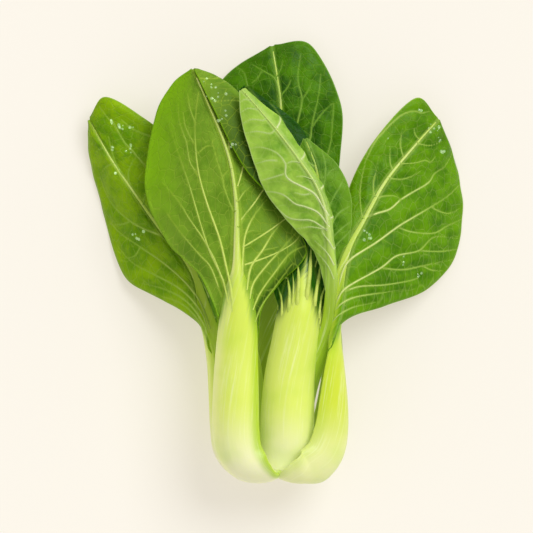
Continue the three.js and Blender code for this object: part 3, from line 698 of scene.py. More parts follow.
# %% The veins that show on the right leaf
seen["right"] = [
    (0.5, 0.28, [(366, 217), (378, 213), (390, 209), (401, 199.6), (413, 192), (425.4, 185), (431, 180),
                 (435.3, 173), (445.8, 165.4), (453.4, 152)]),
    (0.32, 0.24, [(419.6, 143.4), (430.5, 145), (442.6, 141)]),
    (0.32, 0.24, [(402.4, 163.4), (415.8, 162.5), (425.4, 160), (431, 161.5), (436, 156)]),
    (0.32, 0.24, [(391.6, 178.4), (401.8, 179), (412, 176), (421.9, 170)]),
    (0.32, 0.24, [(377, 198), (385, 196), (395, 196), (401, 200)]),
    (0.6, 0.28, [(339, 287), (343, 270), (352, 258), (376, 242.6), (398, 226.7), (414, 217),
                 (430, 207.6), (447.6, 196.4), (460, 185)]),
    (0.32, 0.24, [(398, 227.5), (412.5, 232), (434, 233), (447.6, 226), (463, 218.7)]),
    (0.3, 0.24, [(432, 207), (440, 211), (450, 213), (461, 208)]),
    (0.55, 0.28, [(336, 304), (341, 293), (351, 284.5), (380.6, 268), (396.5, 256), (419, 250.6),
                  (434.8, 237), (460, 238.6)]),
    (0.3, 0.24, [(419, 250.6), (441, 251.4), (458.7, 249)]),
    (0.3, 0.24, [(380.6, 268), (403, 269.7), (423.6, 265.7), (457, 258.6)]),
    (0.3, 0.24, [(423, 266), (432, 270), (444, 271)]),
    (0.4, 0.25, [(345, 291), (360, 286.5), (384, 285), (409, 281), (419, 277.7)]),
    (0.45, 0.26, [(335, 310), (343, 302.5), (356, 297), (380.6, 293), (415.7, 289)]),
    (0.4, 0.25, [(333, 321), (340, 314), (354, 307), (376, 302)]),
    (0.32, 0.24, [(374, 195), (373.5, 184), (375, 175.7), (379, 156.5)]),
    (0.32, 0.24, [(392.9, 169.8), (390.3, 161.5), (390.3, 143.7)]),
    (0.32, 0.24, [(403.7, 157), (401, 147.5), (400.8, 140.5), (402.4, 128.4)]),
    (0.3, 0.24, [(419.6, 139.2), (415.5, 134), (414.5, 128.4)]),
    (0.32, 0.24, [(362, 216), (360, 195), (362, 178), (366, 160)]),
    (0.32, 0.24, [(366, 160), (375, 142), (383.3, 132), (392, 123), (400, 116), (409, 111.5), (416, 110.8),
                  (422.2, 112.4), (430.5, 110.5)]),
]
print("right:", len(seen["right"]), "veins")

# %% The veins that show on the left leaf
seen["left"] = [
    (0.42, 0.25, [(163, 236), (152, 232), (140, 227), (130, 221), (114.4, 207.4), (105.8, 193.7),
                  (99, 176)]),
    (0.6, 0.26, [(210, 329), (204, 311), (197, 297), (183, 280), (162.7, 262.5), (140, 247),
                 (119.6, 233), (109, 221)]),
    (0.5, 0.25, [(208.5, 333), (203, 316), (192, 300), (176.4, 286.6), (154, 274.6), (131.7, 262.5),
                 (117, 246)]),
    (0.45, 0.25, [(207.5, 336), (202, 321), (187, 302), (166, 290), (140, 283)]),
    (0.36, 0.25, [(205, 334), (196, 317), (180, 303), (160, 296)]),
    (0.36, 0.25, [(147, 168), (138.7, 158.3), (131, 149.4), (124, 142), (118, 132), (113, 123),
                  (107.4, 117.5), (99, 106)]),
    (0.3, 0.24, [(150, 136), (139.6, 132), (130.4, 127.4), (121, 119)]),
    (0.32, 0.24, [(123.4, 177), (116, 165), (111, 150), (108, 136)]),
    (0.32, 0.24, [(129, 185), (128, 172), (133, 160), (141, 153)]),
    (0.32, 0.24, [(142, 206), (146, 192), (152, 180)]),
    (0.3, 0.24, [(101.7, 147.5), (97, 150), (93.5, 156)]),
    (0.3, 0.24, [(114, 163), (106, 166), (97, 176)]),
    (0.3, 0.24, [(130, 221), (121, 224), (107, 224)]),
    (0.3, 0.24, [(140, 247), (134, 256), (122, 258)]),
]
print("left:", len(seen["left"]), "veins")

# %% The veins that show on the curled leaf
seen["curled"] = [
    (0.62, 0.26, [(328, 216), (318, 199), (311.5, 192), (300, 186), (290.5, 181), (285.5, 175),
                  (285, 163.5), (276, 153), (262, 148), (249, 149)]),
    (0.5, 0.26, [(329, 227), (318, 213), (305, 207), (295, 204), (283, 195), (270, 192), (263, 193)]),
    (0.42, 0.26, [(329, 232), (312, 221), (298, 220), (287, 217), (276, 207), (269, 200)]),
    (0.36, 0.25, [(323, 229), (310, 227), (297, 229)]),
    (0.36, 0.25, [(315, 181), (304, 177), (297, 177)]),
    (0.33, 0.25, [(310, 194), (303, 195), (295, 193)]),
    (0.3, 0.24, [(285, 174), (272, 178), (261, 181)]),
    (0.3, 0.24, [(277, 161), (268, 161), (256, 164)]),
    (0.3, 0.24, [(270, 134), (257, 132), (244, 134)]),
    (0.3, 0.24, [(263, 121), (252, 120), (242, 124)]),
    (0.3, 0.24, [(256, 110), (248, 109), (241, 113)]),
    (0.3, 0.24, [(251, 101), (245, 100), (240.5, 103)]),
    (0.33, 0.25, [(300, 163), (292, 162), (285, 165)]),
    (0.45, 0.26, [(333, 249), (327.7, 240), (322.6, 233), (321, 225.7)]),
    (0.45, 0.26, [(333.6, 265), (329, 256), (323, 248.5), (315, 241)]),
    (0.36, 0.25, [(333.5, 279), (329, 268), (322, 258), (314, 250)]),
]
print("curled:", len(seen["curled"]), "veins")

# %% The veins that show on the leaves behind
seen["inner_right"] = [
    (0.36, 0.25, [(322, 191), (325, 177), (325, 163), (322, 152)]),
    (0.36, 0.25, [(327, 211), (333, 198), (339, 188), (343, 180)]),
    (0.36, 0.25, [(331, 226), (337, 215), (343, 210), (350, 206)]),
    (0.33, 0.25, [(333.5, 236), (342, 228), (350, 222)]),
    (0.33, 0.25, [(335, 246), (343, 238), (350, 231)]),
    (0.3, 0.24, [(315, 165), (311, 156), (310, 147)]),
    (0.3, 0.24, [(325, 177), (331, 171), (336, 168)]),
]
seen["top_back"] = [
    (0.45, 0.25, [(291, 150), (298, 120), (302, 99), (298, 78), (301, 53)]),
    (0.45, 0.25, [(300, 160), (310, 139), (312, 125), (319, 93), (321, 73)]),
    (0.4, 0.25, [(315, 175), (329, 150), (333, 118), (334, 104)]),
    (0.32, 0.24, [(311, 128), (322, 113), (334, 101)]),
    (0.4, 0.25, [(280, 100), (275.5, 79), (263, 70), (252, 63)]),
    (0.36, 0.24, [(268, 120), (254, 100), (248, 86), (244, 72), (237, 66)]),
    (0.3, 0.24, [(276, 78), (281, 68), (283, 60)]),
    (0.3, 0.24, [(281, 95), (288, 86), (291, 79)]),
    (0.3, 0.24, [(302, 99), (307, 92), (312, 82)]),
    (0.3, 0.24, [(262, 70), (257, 78), (252, 82)]),
]
seen["front_centre"] = [
    (1.2, 0.6, [(297, 306), (298.6, 282), (297.6, 260)]),
    (1.4, 0.8, [(306, 300), (309.7, 272), (310.7, 246)]),
    (1.2, 0.6, [(314, 306), (317.5, 282), (320.7, 262)]),
    (1.1, 0.5, [(288.5, 312), (289.5, 292), (287, 275)]),
    (0.8, 0.3, [(282, 316), (281.5, 299), (277.5, 286)]),
    (0.5, 0.26, [(278, 322), (275, 306), (270, 295)]),
    (0.9, 0.3, [(318.5, 318), (321.5, 296), (328, 280)]),
    (0.6, 0.28, [(319, 324), (324, 305), (331, 290)]),
    (0.5, 0.26, [(319.5, 332), (324.5, 314), (331, 301)]),
    (0.6, 0.28, [(292.5, 306), (293.5, 285), (292, 268)]),
]
seen["back_left"] = []
print("veins read off the photo:", sum(len(lines) for lines in seen.values()))

# %% Search trees for a sheet and for a mesh
def blade_tree(sheet):
    """Turns the rows of points into quads that a line can be shot at."""
    rows, columns = sheet.shape[:2]
    at = np.arange(rows * columns).reshape(rows, columns)
    quads = np.stack([at[:-1, :-1], at[:-1, 1:], at[1:, 1:], at[1:, :-1]], -1).reshape(-1, 4)
    return BVHTree.FromPolygons(sheet.reshape(-1, 3).tolist(), quads.tolist())


def mesh_tree(made):
    mesh = made.data
    spots = [tuple(vertex.co / MM) for vertex in mesh.vertices]
    return BVHTree.FromPolygons(spots, [tuple(face.vertices) for face in mesh.polygons])


ABOVE_MM = 100


def seen_from_above(tree, x, y):
    """The highest point over that place, or None."""
    return tree.ray_cast(Vector((x, y, ABOVE_MM)), Vector((0, 0, -1)))[0]


trees = {name: (blade_tree(sheets[name][0]), mesh_tree(stalks[name])) for name in leaves}
print("the right stalk stands", round(seen_from_above(trees["right"][1], 25, -55)[2], 1), "mm high")

# %% Mend a line's start and its height
BESIDE_MIDRIB_MM = (0.5, 3)


def from_midrib(line, leaf, stalk):
    """Starts the line on the midrib's middle, where it starts just beside it."""
    if seen_from_above(stalk, *line[0]) is not None:
        return line
    middle = along(leaf["stations"], np.linspace(blade_start(leaf), 1, 200))[:, :2]
    gaps = np.linalg.norm(middle - line[0], axis=1)
    near, far = BESIDE_MIDRIB_MM
    return np.vstack([middle[gaps.argmin()], line]) if near < gaps.min() < far else line


def evened(laid):
    """Fills small dips in a line's height, so that the vein doesn't sink where it leaves the stalk."""
    if len(laid) > 6:
        spread = np.pad(laid[:, 2], 2, mode="edge")
        laid[:, 2] = np.maximum(laid[:, 2], np.convolve(spread, np.ones(5) / 5, mode="valid"))
    return laid


print("a dip, evened:", evened(np.array([[0.0, 0, z] for z in (5, 5, 5, 2, 5, 5, 5)]))[3, 2], "mm high")

# %% Lay a line of the photo on a leaf
STEP_MM = 0.7
OFF_EDGE_MM = 1.5
JUMP_MM = 3.5
USUAL_HEIGHT_MM = 30


def laid_from_above(line, leaf, tree, stalk):
    """Follows the line over stalk and blade as seen from above, and stops where it would jump."""
    flat = from_midrib(from_photo(line), leaf, stalk)
    steps = max(int(np.linalg.norm(np.diff(flat, axis=0), axis=1).sum() / STEP_MM), 4)
    laid = []
    for x, y in along(flat, np.linspace(0, 1, steps)):
        spot = seen_from_above(tree, x, y)
        if spot is None:
            spot = tree.find_nearest(Vector((x, y, laid[-1][2] if laid else USUAL_HEIGHT_MM)))[0]
            if (spot - Vector((x, y, spot.z))).length > OFF_EDGE_MM:
                continue
        on_stalk = seen_from_above(stalk, x, y)
        was_on_stalk = laid and laid[-1][3]
        rides = on_stalk is not None and on_stalk.z > spot.z
        if rides:
            spot = on_stalk
        if laid and not was_on_stalk and (spot - Vector(laid[-1][:3])).length > JUMP_MM:
            break
        laid.append((*spot, rides))
    return evened(np.array(laid, float)[:, :3])


first = laid_from_above(seen["right"][0][2], leaves["right"], *trees["right"])
print("points on the right leaf's first vein:", len(first))

# %% Side veins that follow the leaf's own rows
VEIN_POINTS = 26


def laid_in_rows(name, sheet, which, start, lean, reach):
    """A vein on one side, from the row `start` (0 to 1) on the stalk out to that reach."""
    left, right, rows = leaves[name]["cells"]
    far = np.linspace(0.0, reach, VEIN_POINTS)
    row = np.clip(start + lean * far**1.4, 0, 1) * rows
    column = left * (1 - far) if which == 0 else left + MIDDLE + right * far
    i, j = np.minimum(row.astype(int), rows - 1), np.minimum(column.astype(int), sheet.shape[1] - 2)
    f, g = (row - i)[:, None], (column - j)[:, None]
    low = sheet[i, j] * (1 - g) + sheet[i, j + 1] * g
    high = sheet[i + 1, j] * (1 - g) + sheet[i + 1, j + 1] * g
    return low * (1 - f) + high * f


# Sides that the photo doesn't show: side (0 left, 1 right), how many veins, first and last row, lean
GROWN = {
    "front_left": [(1, 5, 0.45, 0.85, 0.12)],
    "front_centre": [(0, 6, 0.3, 0.86, 0.1), (1, 6, 0.3, 0.86, 0.1)],
    "left": [(1, 6, 0.04, 0.5, 0.16)],
    "back_left": [(0, 7, 0.03, 0.85, 0.1), (1, 7, 0.03, 0.85, 0.1)],
    "inner_right": [(0, 6, 0.05, 0.85, 0.1)],
    "top_back": [(0, 5, 0.03, 0.5, 0.12), (1, 5, 0.03, 0.5, 0.12)],
    "curled": [(1, 6, 0.1, 0.85, 0.06)],
}
GROWN_REACH = 0.93
GROWN_RADIUS_MM = (0.42, 0.14)
print("veins grown in rows:", sum(count for sides in GROWN.values() for side, count, *rows in sides))

# %% All the veins of a leaf
PROUD_MM = 0.09
RAISED_SHARE = 0.82
RISEN_BY = 0.14
THINS_FROM = 0.6


def tapered(points, thick, thin):
    """A vein starts sunk in the stalk, rises a little out of the blade, and thins towards its end."""
    gone = np.linspace(0, 1, len(points))
    radius = RAISED_SHARE * (thick**0.5 * (1 - gone) + thin**0.5 * gone) ** 2
    radius = radius * (1 - 0.6 * smooth_step(THINS_FROM, 1, gone))
    rising = smooth_step(0, RISEN_BY, gone)
    points[:, 2] += PROUD_MM * rising - radius * (1 - rising)
    points[:, 2] = np.maximum(points[:, 2], radius)
    return points, radius


def veins_of(name, sheet):
    """Every vein of a blade: its points, in millimetres, and its radius at each of them."""
    found = []
    for thick, thin, line in seen[name]:
        points = laid_from_above(line, leaves[name], *trees[name])
        if len(points) > 3:
            found.append(tapered(points, thick, thin))
    for which, count, first, last, lean in GROWN.get(name, []):
        for start in np.linspace(first, last, count):
            points = laid_in_rows(name, sheet, which, start, lean, GROWN_REACH)
            found.append((points, np.linspace(*GROWN_RADIUS_MM, len(points))))
    return found


veins = {name: veins_of(name, sheets[name][0]) for name in leaves}
print("veins on each blade:", {name: len(lines) for name, lines in veins.items()})

# %% [markdown]
# ## Shape and thicken the blades
# The blade's tissue bulges towards the front of the leaf between two veins, by about half a millimetre.
# The distance from every grid point to the nearest vein gives that bulge. The same distances are kept
# as attributes, so the finish can be paler beside a vein, at the stalk and along the margin.

# %% How far a point is from the nearest vein
def vein_finder(lines):
    """A search tree over all the points of a leaf's veins, and the radius at each of them."""
    spots = np.concatenate([points for points, radius in lines])
    tree = KDTree(len(spots))
    for index, spot in enumerate(spots):
        tree.insert(Vector(spot), index)
    tree.balance()
    return tree, np.concatenate([radius for points, radius in lines])


def gap_to_veins(sheet, lines):
    """The distance from each point of the sheet to the skin of the nearest vein."""
    tree, sizes = vein_finder(lines)
    near = [tree.find(Vector(spot)) for spot in sheet.reshape(-1, 3)]
    gaps = np.array([hit[2] for hit in near]) - sizes[[hit[1] for hit in near]]
    return np.maximum(gaps, 0).reshape(sheet.shape[:2])


print("vein points on the right leaf:", len(vein_finder(veins["right"])[1]))

# %% Measure a blade
def measures_of(name, sheet, reach):
    """What the swelling, the map and the finish need to know at each point, lengths in millimetres."""
    left = leaves[name]["cells"][0]
    over = np.linalg.norm(np.diff(sheet, axis=1), axis=2)
    travelled = np.concatenate([np.zeros((len(sheet), 1)), np.cumsum(over, axis=1)], 1)
    middle = travelled[:, left + MIDDLE // 2][:, None]
    edge_left, edge_right = travelled[:, left][:, None], travelled[:, left + MIDDLE][:, None]
    beside_stalk = np.maximum(np.maximum(edge_left - travelled, travelled - edge_right), 0)
    at_rim = np.minimum(travelled, travelled[:, -1:] - travelled)
    up = np.linalg.norm(np.diff(sheet, axis=0), axis=2)
    length = np.concatenate([np.zeros((1, sheet.shape[1])), np.cumsum(up, axis=0)], 0)
    return {
        "vein_gap": gap_to_veins(sheet, veins[name]),
        "stalk_gap": beside_stalk,
        "rim_gap": at_rim,
        "across_mm": travelled - middle,
        "along_mm": length,
        "reach": np.broadcast_to(reach, sheet.shape[:2]),
        "rise": np.broadcast_to(np.linspace(0, 1, len(sheet))[:, None], sheet.shape[:2]),
    }


widths = np.ptp(measures_of("back_left", *sheets["back_left"][:2])["across_mm"], axis=1)
print("the back left blade is up to", round(float(widths.max())), "mm wide when laid flat")

# %% Swell the tissue between the veins
SWELL_MM = 0.42
STRONG_SWELL_MM = {"curled": 0.6, "right": 0.75, "left": 0.75, "top_back": 0.6}
VALLEY_MM = 2.2
FLAT_RIM_MM = 2.5
FLAT_STALK_MM = 3


def swollen(sheet, facing, measures, height):
    """Lifts the sheet towards the leaf's front, except near a vein, the margin and the stalk."""
    swell = height * (1 - np.exp(-((measures["vein_gap"] / VALLEY_MM) ** 2)))
    swell = swell * smooth_step(0, FLAT_RIM_MM, measures["rim_gap"])
    swell = swell * smooth_step(0, FLAT_STALK_MM, measures["stalk_gap"])
    made = sheet - facing * sheet_normals(sheet) * swell[..., None]
    made[..., 2] = np.maximum(made[..., 2], LOWEST_MM)
    return made


print("a plain blade swells by", SWELL_MM, "mm, and these by more:", list(STRONG_SWELL_MM))

# %% Give the sheet its thickness
SHEET_MM = 0.44


def thickened(made, thickness):
    """Runs Solidify and keeps its result, so that the piece is one closed skin."""
    solid = made.modifiers.new("thickness", "SOLIDIFY")
    solid.thickness = thickness * MM
    solid.offset = 0
    worked_out = made.evaluated_get(bpy.context.evaluated_depsgraph_get())
    result = bpy.data.meshes.new_from_object(worked_out)
    made.modifiers.clear()
    made.data = result
    made.data.shade_smooth()
    return made


def make_blade(name):
    sheet, reach, facing = sheets[name]
    measures = measures_of(name, sheet, reach)
    sheet = swollen(sheet, facing, measures, STRONG_SWELL_MM.get(name, SWELL_MM))
    rows, columns = sheet.shape[:2]
    picked = {}

    def place(a, b):
        picked["at"] = np.rint(b * (rows - 1)).astype(int), np.rint(a * (columns - 1)).astype(int)
        return sheet[picked["at"]] * MM

    grid, flat = shaped_grid(columns - 1, rows - 1, place)
    at = picked["at"]
    uv = np.stack([measures["across_mm"][at], measures["along_mm"][at]], 1)
    kept = {key: measures[key][at] for key in ("vein_gap", "stalk_gap", "rim_gap", "reach", "rise")}
    return thickened(finish_object(f"{name}_blade_form", grid, kept, uv), SHEET_MM)


blades = {name: make_blade(name) for name in leaves}
print("blade triangles:", {name: count_triangles(blade) for name, blade in blades.items()})

# %% Draw each blade's veins as tapered tubes
def make_veins(name, lines):
    """A curve with one tapered spline per vein, turned into a mesh."""
    drawing = bpy.data.curves.new(f"{name}_veins", "CURVE")
    drawing.dimensions = "3D"
    drawing.bevel_depth = MM
    drawing.bevel_resolution = 2  # the tube's section has eight corners
    drawing.use_fill_caps = True
    for points, radius in lines:
        spline = drawing.splines.new("POLY")
        spline.points.add(len(points) - 1)
        spline.points.foreach_set("co", np.c_[points * MM, np.ones(len(points))].ravel())
        spline.points.foreach_set("radius", radius)
    drawn = bpy.data.objects.new(f"{name}_vein_lines", drawing)
    bpy.context.scene.collection.objects.link(drawn)
    mesh = bpy.data.meshes.new_from_object(drawn.evaluated_get(bpy.context.evaluated_depsgraph_get()))
    bpy.data.objects.remove(drawn)
    made = bpy.data.objects.new(f"{name}_veins", mesh)
    bpy.context.scene.collection.objects.link(made)
    mesh.shade_smooth()
    return made


vein_pieces = {name: make_veins(name, lines) for name, lines in veins.items()}
print("vein triangles:", sum(count_triangles(piece) for piece in vein_pieces.values()))

# %% [markdown]
# ## Finishes
# Leaf tissue is not one green. It is mottled, paler beside each vein, lighter towards the thin margin,
# where a painted glow stands for the light that shines through, and crossed by a net of hair-thin veins.
# A painted image could carry this, but it would be fixed in size. Here node materials build it from the
# attributes and from the blade's own map, which is in millimetres.

# %% Colours, nodes and materials
def green(code):
    """A colour written as in a web page, turned into the linear values that Blender's shaders use."""
    parts = [int(code[i:i + 2], 16) / 255 for i in (1, 3, 5)]
    return (*[p / 12.92 if p <= 0.04045 else ((p + 0.055) / 1.055) ** 2.4 for p in parts], 1)


def put(tree, kind, values=None, **settings):
    """Adds a node of that kind. Each value is set on its input, or linked to it if it is a socket."""
    made = tree.nodes.new(f"ShaderNode{kind}")
    for key, value in settings.items():
        setattr(made, key, value)
    for key, value in (values or {}).items():
        if isinstance(value, bpy.types.NodeSocket):
            tree.links.new(value, made.inputs[key])
        else:
            made.inputs[key].default_value = value
    return made


def start_finish(name, **shader_values):
    """A new material with those values set on its shader's own sockets."""
    material = bpy.data.materials.new(name)
    material.use_nodes = True
    tree = material.node_tree
    shader = tree.nodes["Principled BSDF"]
    for key, value in shader_values.items():
        shader.inputs[key.replace("_", " ")].default_value = value
    return material, tree, shader


print("a mid green in linear values:", [round(value, 3) for value in green("#4E8A10")[:3]])

# %% Short names for sums, blends, measures and patterns
def calc(tree, operation, a, b=0.0):
    return put(tree, "Math", {0: a, 1: b}, operation=operation).outputs[0]


SHARE_INPUT, A_INPUT, B_INPUT, COLOUR_OUTPUT = 0, 6, 7, 2  # a Mix node's sockets for colours


def blend(tree, share, a, b):
    """Colour a where share is 0 and colour b where it is 1."""
    made = put(tree, "Mix", {SHARE_INPUT: share, A_INPUT: a, B_INPUT: b}, data_type="RGBA")
    return made.outputs[COLOUR_OUTPUT]


def ease(tree, value, low, high, start=0.0, end=1.0):
    """start below low, end above high, smooth in between."""
    values = {"Value": value, "From Min": low, "From Max": high, "To Min": start, "To Max": end}
    return put(tree, "MapRange", values, interpolation_type="SMOOTHSTEP").outputs[0]


def measured(tree, name):
    """A measure that was stored on the points of the mesh."""
    return put(tree, "Attribute", attribute_name=name).outputs["Fac"]


def noise(tree, spot, scale, detail, roughness=0.5):
    values = {"Vector": spot, "Scale": scale, "Detail": detail, "Roughness": roughness}
    return put(tree, "TexNoise", values).outputs[0]


def bumped(tree, shader, height, distance, strength):
    """Lets a pattern raise the surface by that distance, in metres."""
    made = put(tree, "Bump", {"Height": height, "Distance": distance, "Strength": strength})
    tree.links.new(made.outputs[0], shader.inputs["Normal"])


print("measures a blade carries:", list(blades["right"].data.attributes.keys()))


# %% The net of hair-thin veins
COARSE_NET_MM = (4.6, 0.36)
FINE_NET_MM = (1.9, 0.2)


def vein_net(tree, spot, size, width):
    """Thin lines between cells of that size in millimetres: 1 on a line and 0 inside a cell."""
    sway = put(tree, "TexNoise", {"Vector": spot, "Scale": 0.5 / size, "Detail": 1.0})
    shift = put(tree, "VectorMath", {0: sway.outputs["Color"], 1: (size * 0.8,) * 3}, operation="MULTIPLY")
    moved = put(tree, "VectorMath", {0: spot, 1: shift.outputs[0]}, operation="ADD").outputs[0]
    cells = put(tree, "TexVoronoi", {"Vector": moved, "Scale": 1 / size}, voronoi_dimensions="2D",
                feature="DISTANCE_TO_EDGE")
    return ease(tree, cells.outputs["Distance"], 0.0, width / size, 1.0, 0.0)


print("cells of the net, in millimetres:", COARSE_NET_MM[0], "and", FINE_NET_MM[0])

# %% [markdown]
# ### The blades' finish
# The backs are paler, greyer and duller than the fronts. One function makes both, and each leaf gives
# its own greens: deep and light tissue, vein colour, the painted glow of the thin margin that lets light
# through, and how strongly the net shows. On the front left leaf the half that turns away from the light
# gets painted shade, and the folded flap, which shows its darker front and lies in shade, gets deeper
# painted shade; the side towards the light gets a painted glow. The front centre blade lies in the shade
# of its neighbours, and its greens are painted shade.

# %% The tissue's own colour
PATCHES_PER_M = 110.0
SPECKS_PER_M = 420.0
RIM_GLOW_MM = 9.0


def mottled(tree, place, deep, light, patchy):
    """Soft patches of the two greens, with finer ones over them, and a painted glow towards the margin,
    where light shines through the thinner tissue.
    """
    even = 0.5 - patchy / 2
    patches = noise(tree, place, PATCHES_PER_M, 3.0, 0.6)
    fine = noise(tree, place, SPECKS_PER_M, 3.0, 0.7)
    tissue = blend(tree, ease(tree, patches, 0.34, 0.68, even, 1 - even), green(deep), green(light))
    tissue = blend(tree, ease(tree, fine, 0.3, 0.75, 0.0, 0.3), tissue, green(light))
    rim_glow = ease(tree, measured(tree, "rim_gap"), 0.0, RIM_GLOW_MM, 0.5, 0.0)
    return blend(tree, rim_glow, tissue, green(light)), fine


print("patches are about", round(1 / PATCHES_PER_M / MM), "mm wide")

# %% Painted shade and painted glow on the folded leaf
def painted_fold_shade(tree, tissue, half, flap_shade):
    """Paints shade on the right half, which turns from the light, and deeper painted shade on the flap
    beyond it, but not on the leaf's tip.
    """
    for near, wide, share, shade in ((0.0, 0.2, 0.35, half), (0.55, 0.8, 0.8, flap_shade)):
        out = ease(tree, measured(tree, "reach"), near, wide, 0.0, share)
        below_tip = ease(tree, measured(tree, "rise"), 0.95, 0.7)
        tissue = blend(tree, calc(tree, "MULTIPLY", out, below_tip), tissue, green(shade))
    return tissue


def painted_backlight(tree, tissue, painted_glow, thin):
    """Paints a glow on the left margin of the upper half, for the light that shines through it."""
    out = ease(tree, measured(tree, "reach"), -1.0, -0.45, painted_glow, 0.0)
    high = ease(tree, measured(tree, "rise"), 0.25, 0.6)
    return blend(tree, calc(tree, "MULTIPLY", out, high), tissue, green(thin))


right_reach = sheets["front_left"][1][-1]
print("on the folded leaf reach runs from", sheets["front_left"][1][0], "to", right_reach)

# %% One blade finish
GLOW_RIM_MM = 0.7
BESIDE_VEIN_MM = 0.5
BESIDE_STALK_MM = (0.1, 1.4)


def blade_finish(name, deep, light, vein, thin, net=0.2, rough=0.36, painted_glow=0.0, patchy=1.0,
                 relief_mm=0.12, far=None):
    """The tissue, then whatever is paler than it: beside veins, on the net, at the stalk and the rim."""
    material, tree, shader = start_finish(
        name, Roughness=rough, Specular_IOR_Level=0.1, Subsurface_Weight=0.06,
        Subsurface_Radius=(0.0012, 0.002, 0.0004), Subsurface_Scale=1.0)
    spot = put(tree, "UVMap", uv_map="leafmap").outputs[0]
    place = put(tree, "TexCoord").outputs["Object"]
    tissue, fine = mottled(tree, place, deep, light, patchy)
    # far carries the colours of painted shade for the half and the flap that turn from the light
    if far:
        tissue = painted_fold_shade(tree, tissue, *far)
    coarse_net, fine_net = vein_net(tree, spot, *COARSE_NET_MM), vein_net(tree, spot, *FINE_NET_MM)
    for share in (ease(tree, measured(tree, "vein_gap"), 0.0, BESIDE_VEIN_MM, 0.4, 0.0),
                  calc(tree, "MULTIPLY", coarse_net, net),
                  calc(tree, "MULTIPLY", fine_net, net * 0.2),
                  ease(tree, measured(tree, "stalk_gap"), *BESIDE_STALK_MM, 0.3, 0.0)):
        tissue = blend(tree, share, tissue, green(vein))
    # A painted glow on the left margin, where light shines through
    if painted_glow:
        tissue = painted_backlight(tree, tissue, painted_glow, thin)
    # The thin margin gets a painted glow: a lighter green for the light that shines through it
    at_rim = ease(tree, measured(tree, "rim_gap"), 0.0, GLOW_RIM_MM, 0.7, 0.0)
    tissue = blend(tree, at_rim, tissue, green(thin))
    tree.links.new(tissue, shader.inputs["Base Color"])
    sunk = calc(tree, "MULTIPLY", coarse_net, -1.0)
    swell = calc(tree, "ADD", sunk, calc(tree, "MULTIPLY", fine_net, -0.35))
    swell = calc(tree, "ADD", swell, calc(tree, "MULTIPLY", fine, 0.5))
    bumped(tree, shader, swell, relief_mm * MM, 1.0)
    return material


print("the see-through margin is", GLOW_RIM_MM, "mm wide")

# %% Each leaf's greens
GREENS = {
    # On the front left leaf, far is the painted shade of the far half and the flap, and glow is the painted
    # glow of the left margin
    "front_left": dict(deep="#527E10", light="#84AC2C", vein="#B4D048", thin="#82B800", net=0.26,
                       rough=0.45, painted_glow=0.8, patchy=0.5, far=("#507410", "#204600")),
    # The front centre blade lies in the shade of its neighbours, so its dark greens are painted shade
    "front_centre": dict(deep="#0E3600", light="#1E5600", vein="#7AA030", thin="#2E6606", net=0.1),
    "right": dict(deep="#2A6000", light="#6CA200", vein="#BED66A", thin="#A9CC50", net=0.16,
                  rough=0.33, patchy=0.6),
    "left": dict(deep="#468000", light="#94BC00", vein="#B6D258", thin="#A4C84C", net=0.18,
                 rough=0.33, patchy=0.6),
    "top_back": dict(deep="#1E4E00", light="#508600", vein="#98C048", thin="#8CB850", net=0.2,
                     rough=0.34),
    "back_left": dict(deep="#3A7A00", light="#68A010", vein="#B4D068", thin="#A0C658", net=0.18),
    "inner_right": dict(deep="#356A00", light="#6E9E20", vein="#9CC25C", thin="#8DB850", net=0.14,
                        rough=0.4),
    "curled": dict(deep="#5A9218", light="#AED652", vein="#D0E490", thin="#C4E08C", net=0.1,
                   rough=0.38, patchy=0.6, relief_mm=0.03),
}
for name, blade in blades.items():
    blade.data.materials.clear()
    blade.data.materials.append(blade_finish(f"{name}_tissue", **GREENS[name]))
print("blade finishes:", len(GREENS))

# %% [markdown]
# ### The stalks' finish
# The stalks are almost white where they were cut and turn yellow-green, then green, as they rise. Light
# goes some way into them, so they seem to glow. Their edges, where the flesh is thin and turns away from
# the light, get painted shade, a stronger green; one side of some stalks gets a pale painted highlight,
# and the inside of the trough is a darker green, partly its own and partly painted shade. Faint pale
# lines run along them. A little painted glow stands for the light that comes through the juicy flesh
# from all sides.

# %% The flesh from the root up, with painted highlight and painted shade towards the edges
BANDS = ((-0.088, -0.055), (-0.055, -0.02), (-0.02, 0.02))


def flesh_of(tree, place, tones, edges, painted_highlight):
    """Tones are the colours from the root up. The two pairs of shares say how much pale painted highlight
    and how much painted shade, a stronger green, it gets towards the left and the right edge."""
    height = put(tree, "SeparateXYZ", {0: place}).outputs["Y"]
    flesh = green(tones[0])
    for (low, high), tone in zip(BANDS, tones[1:]):
        flesh = blend(tree, ease(tree, height, low, high), flesh, green(tone))
    way = measured(tree, "side")
    # A pale painted highlight from the middle outwards, then painted shade, a stronger green, at the edges
    for low, high, shares, tone in ((0.25, 0.8, painted_highlight, "#F2F6A4"), (0.65, 1.0, edges, "#A9CC10")):
        flesh = blend(tree, ease(tree, way, low, high, 0.0, shares[0]), flesh, green(tone))
        flesh = blend(tree, ease(tree, way, -low, -high, 0.0, shares[1]), flesh, green(tone))
    # The inside of the trough is a darker green, partly its own colour and partly painted shade
    inside = ease(tree, measured(tree, "face"), 0.1, -0.6, 0.0, 0.5)
    return blend(tree, inside, flesh, green("#B9D44A"))


print("the bands of colour end at", [high for low, high in BANDS], "m along the head")

# %% Where the blade's green climbs over the stalk
STREAKS = (0.85, 1.45)


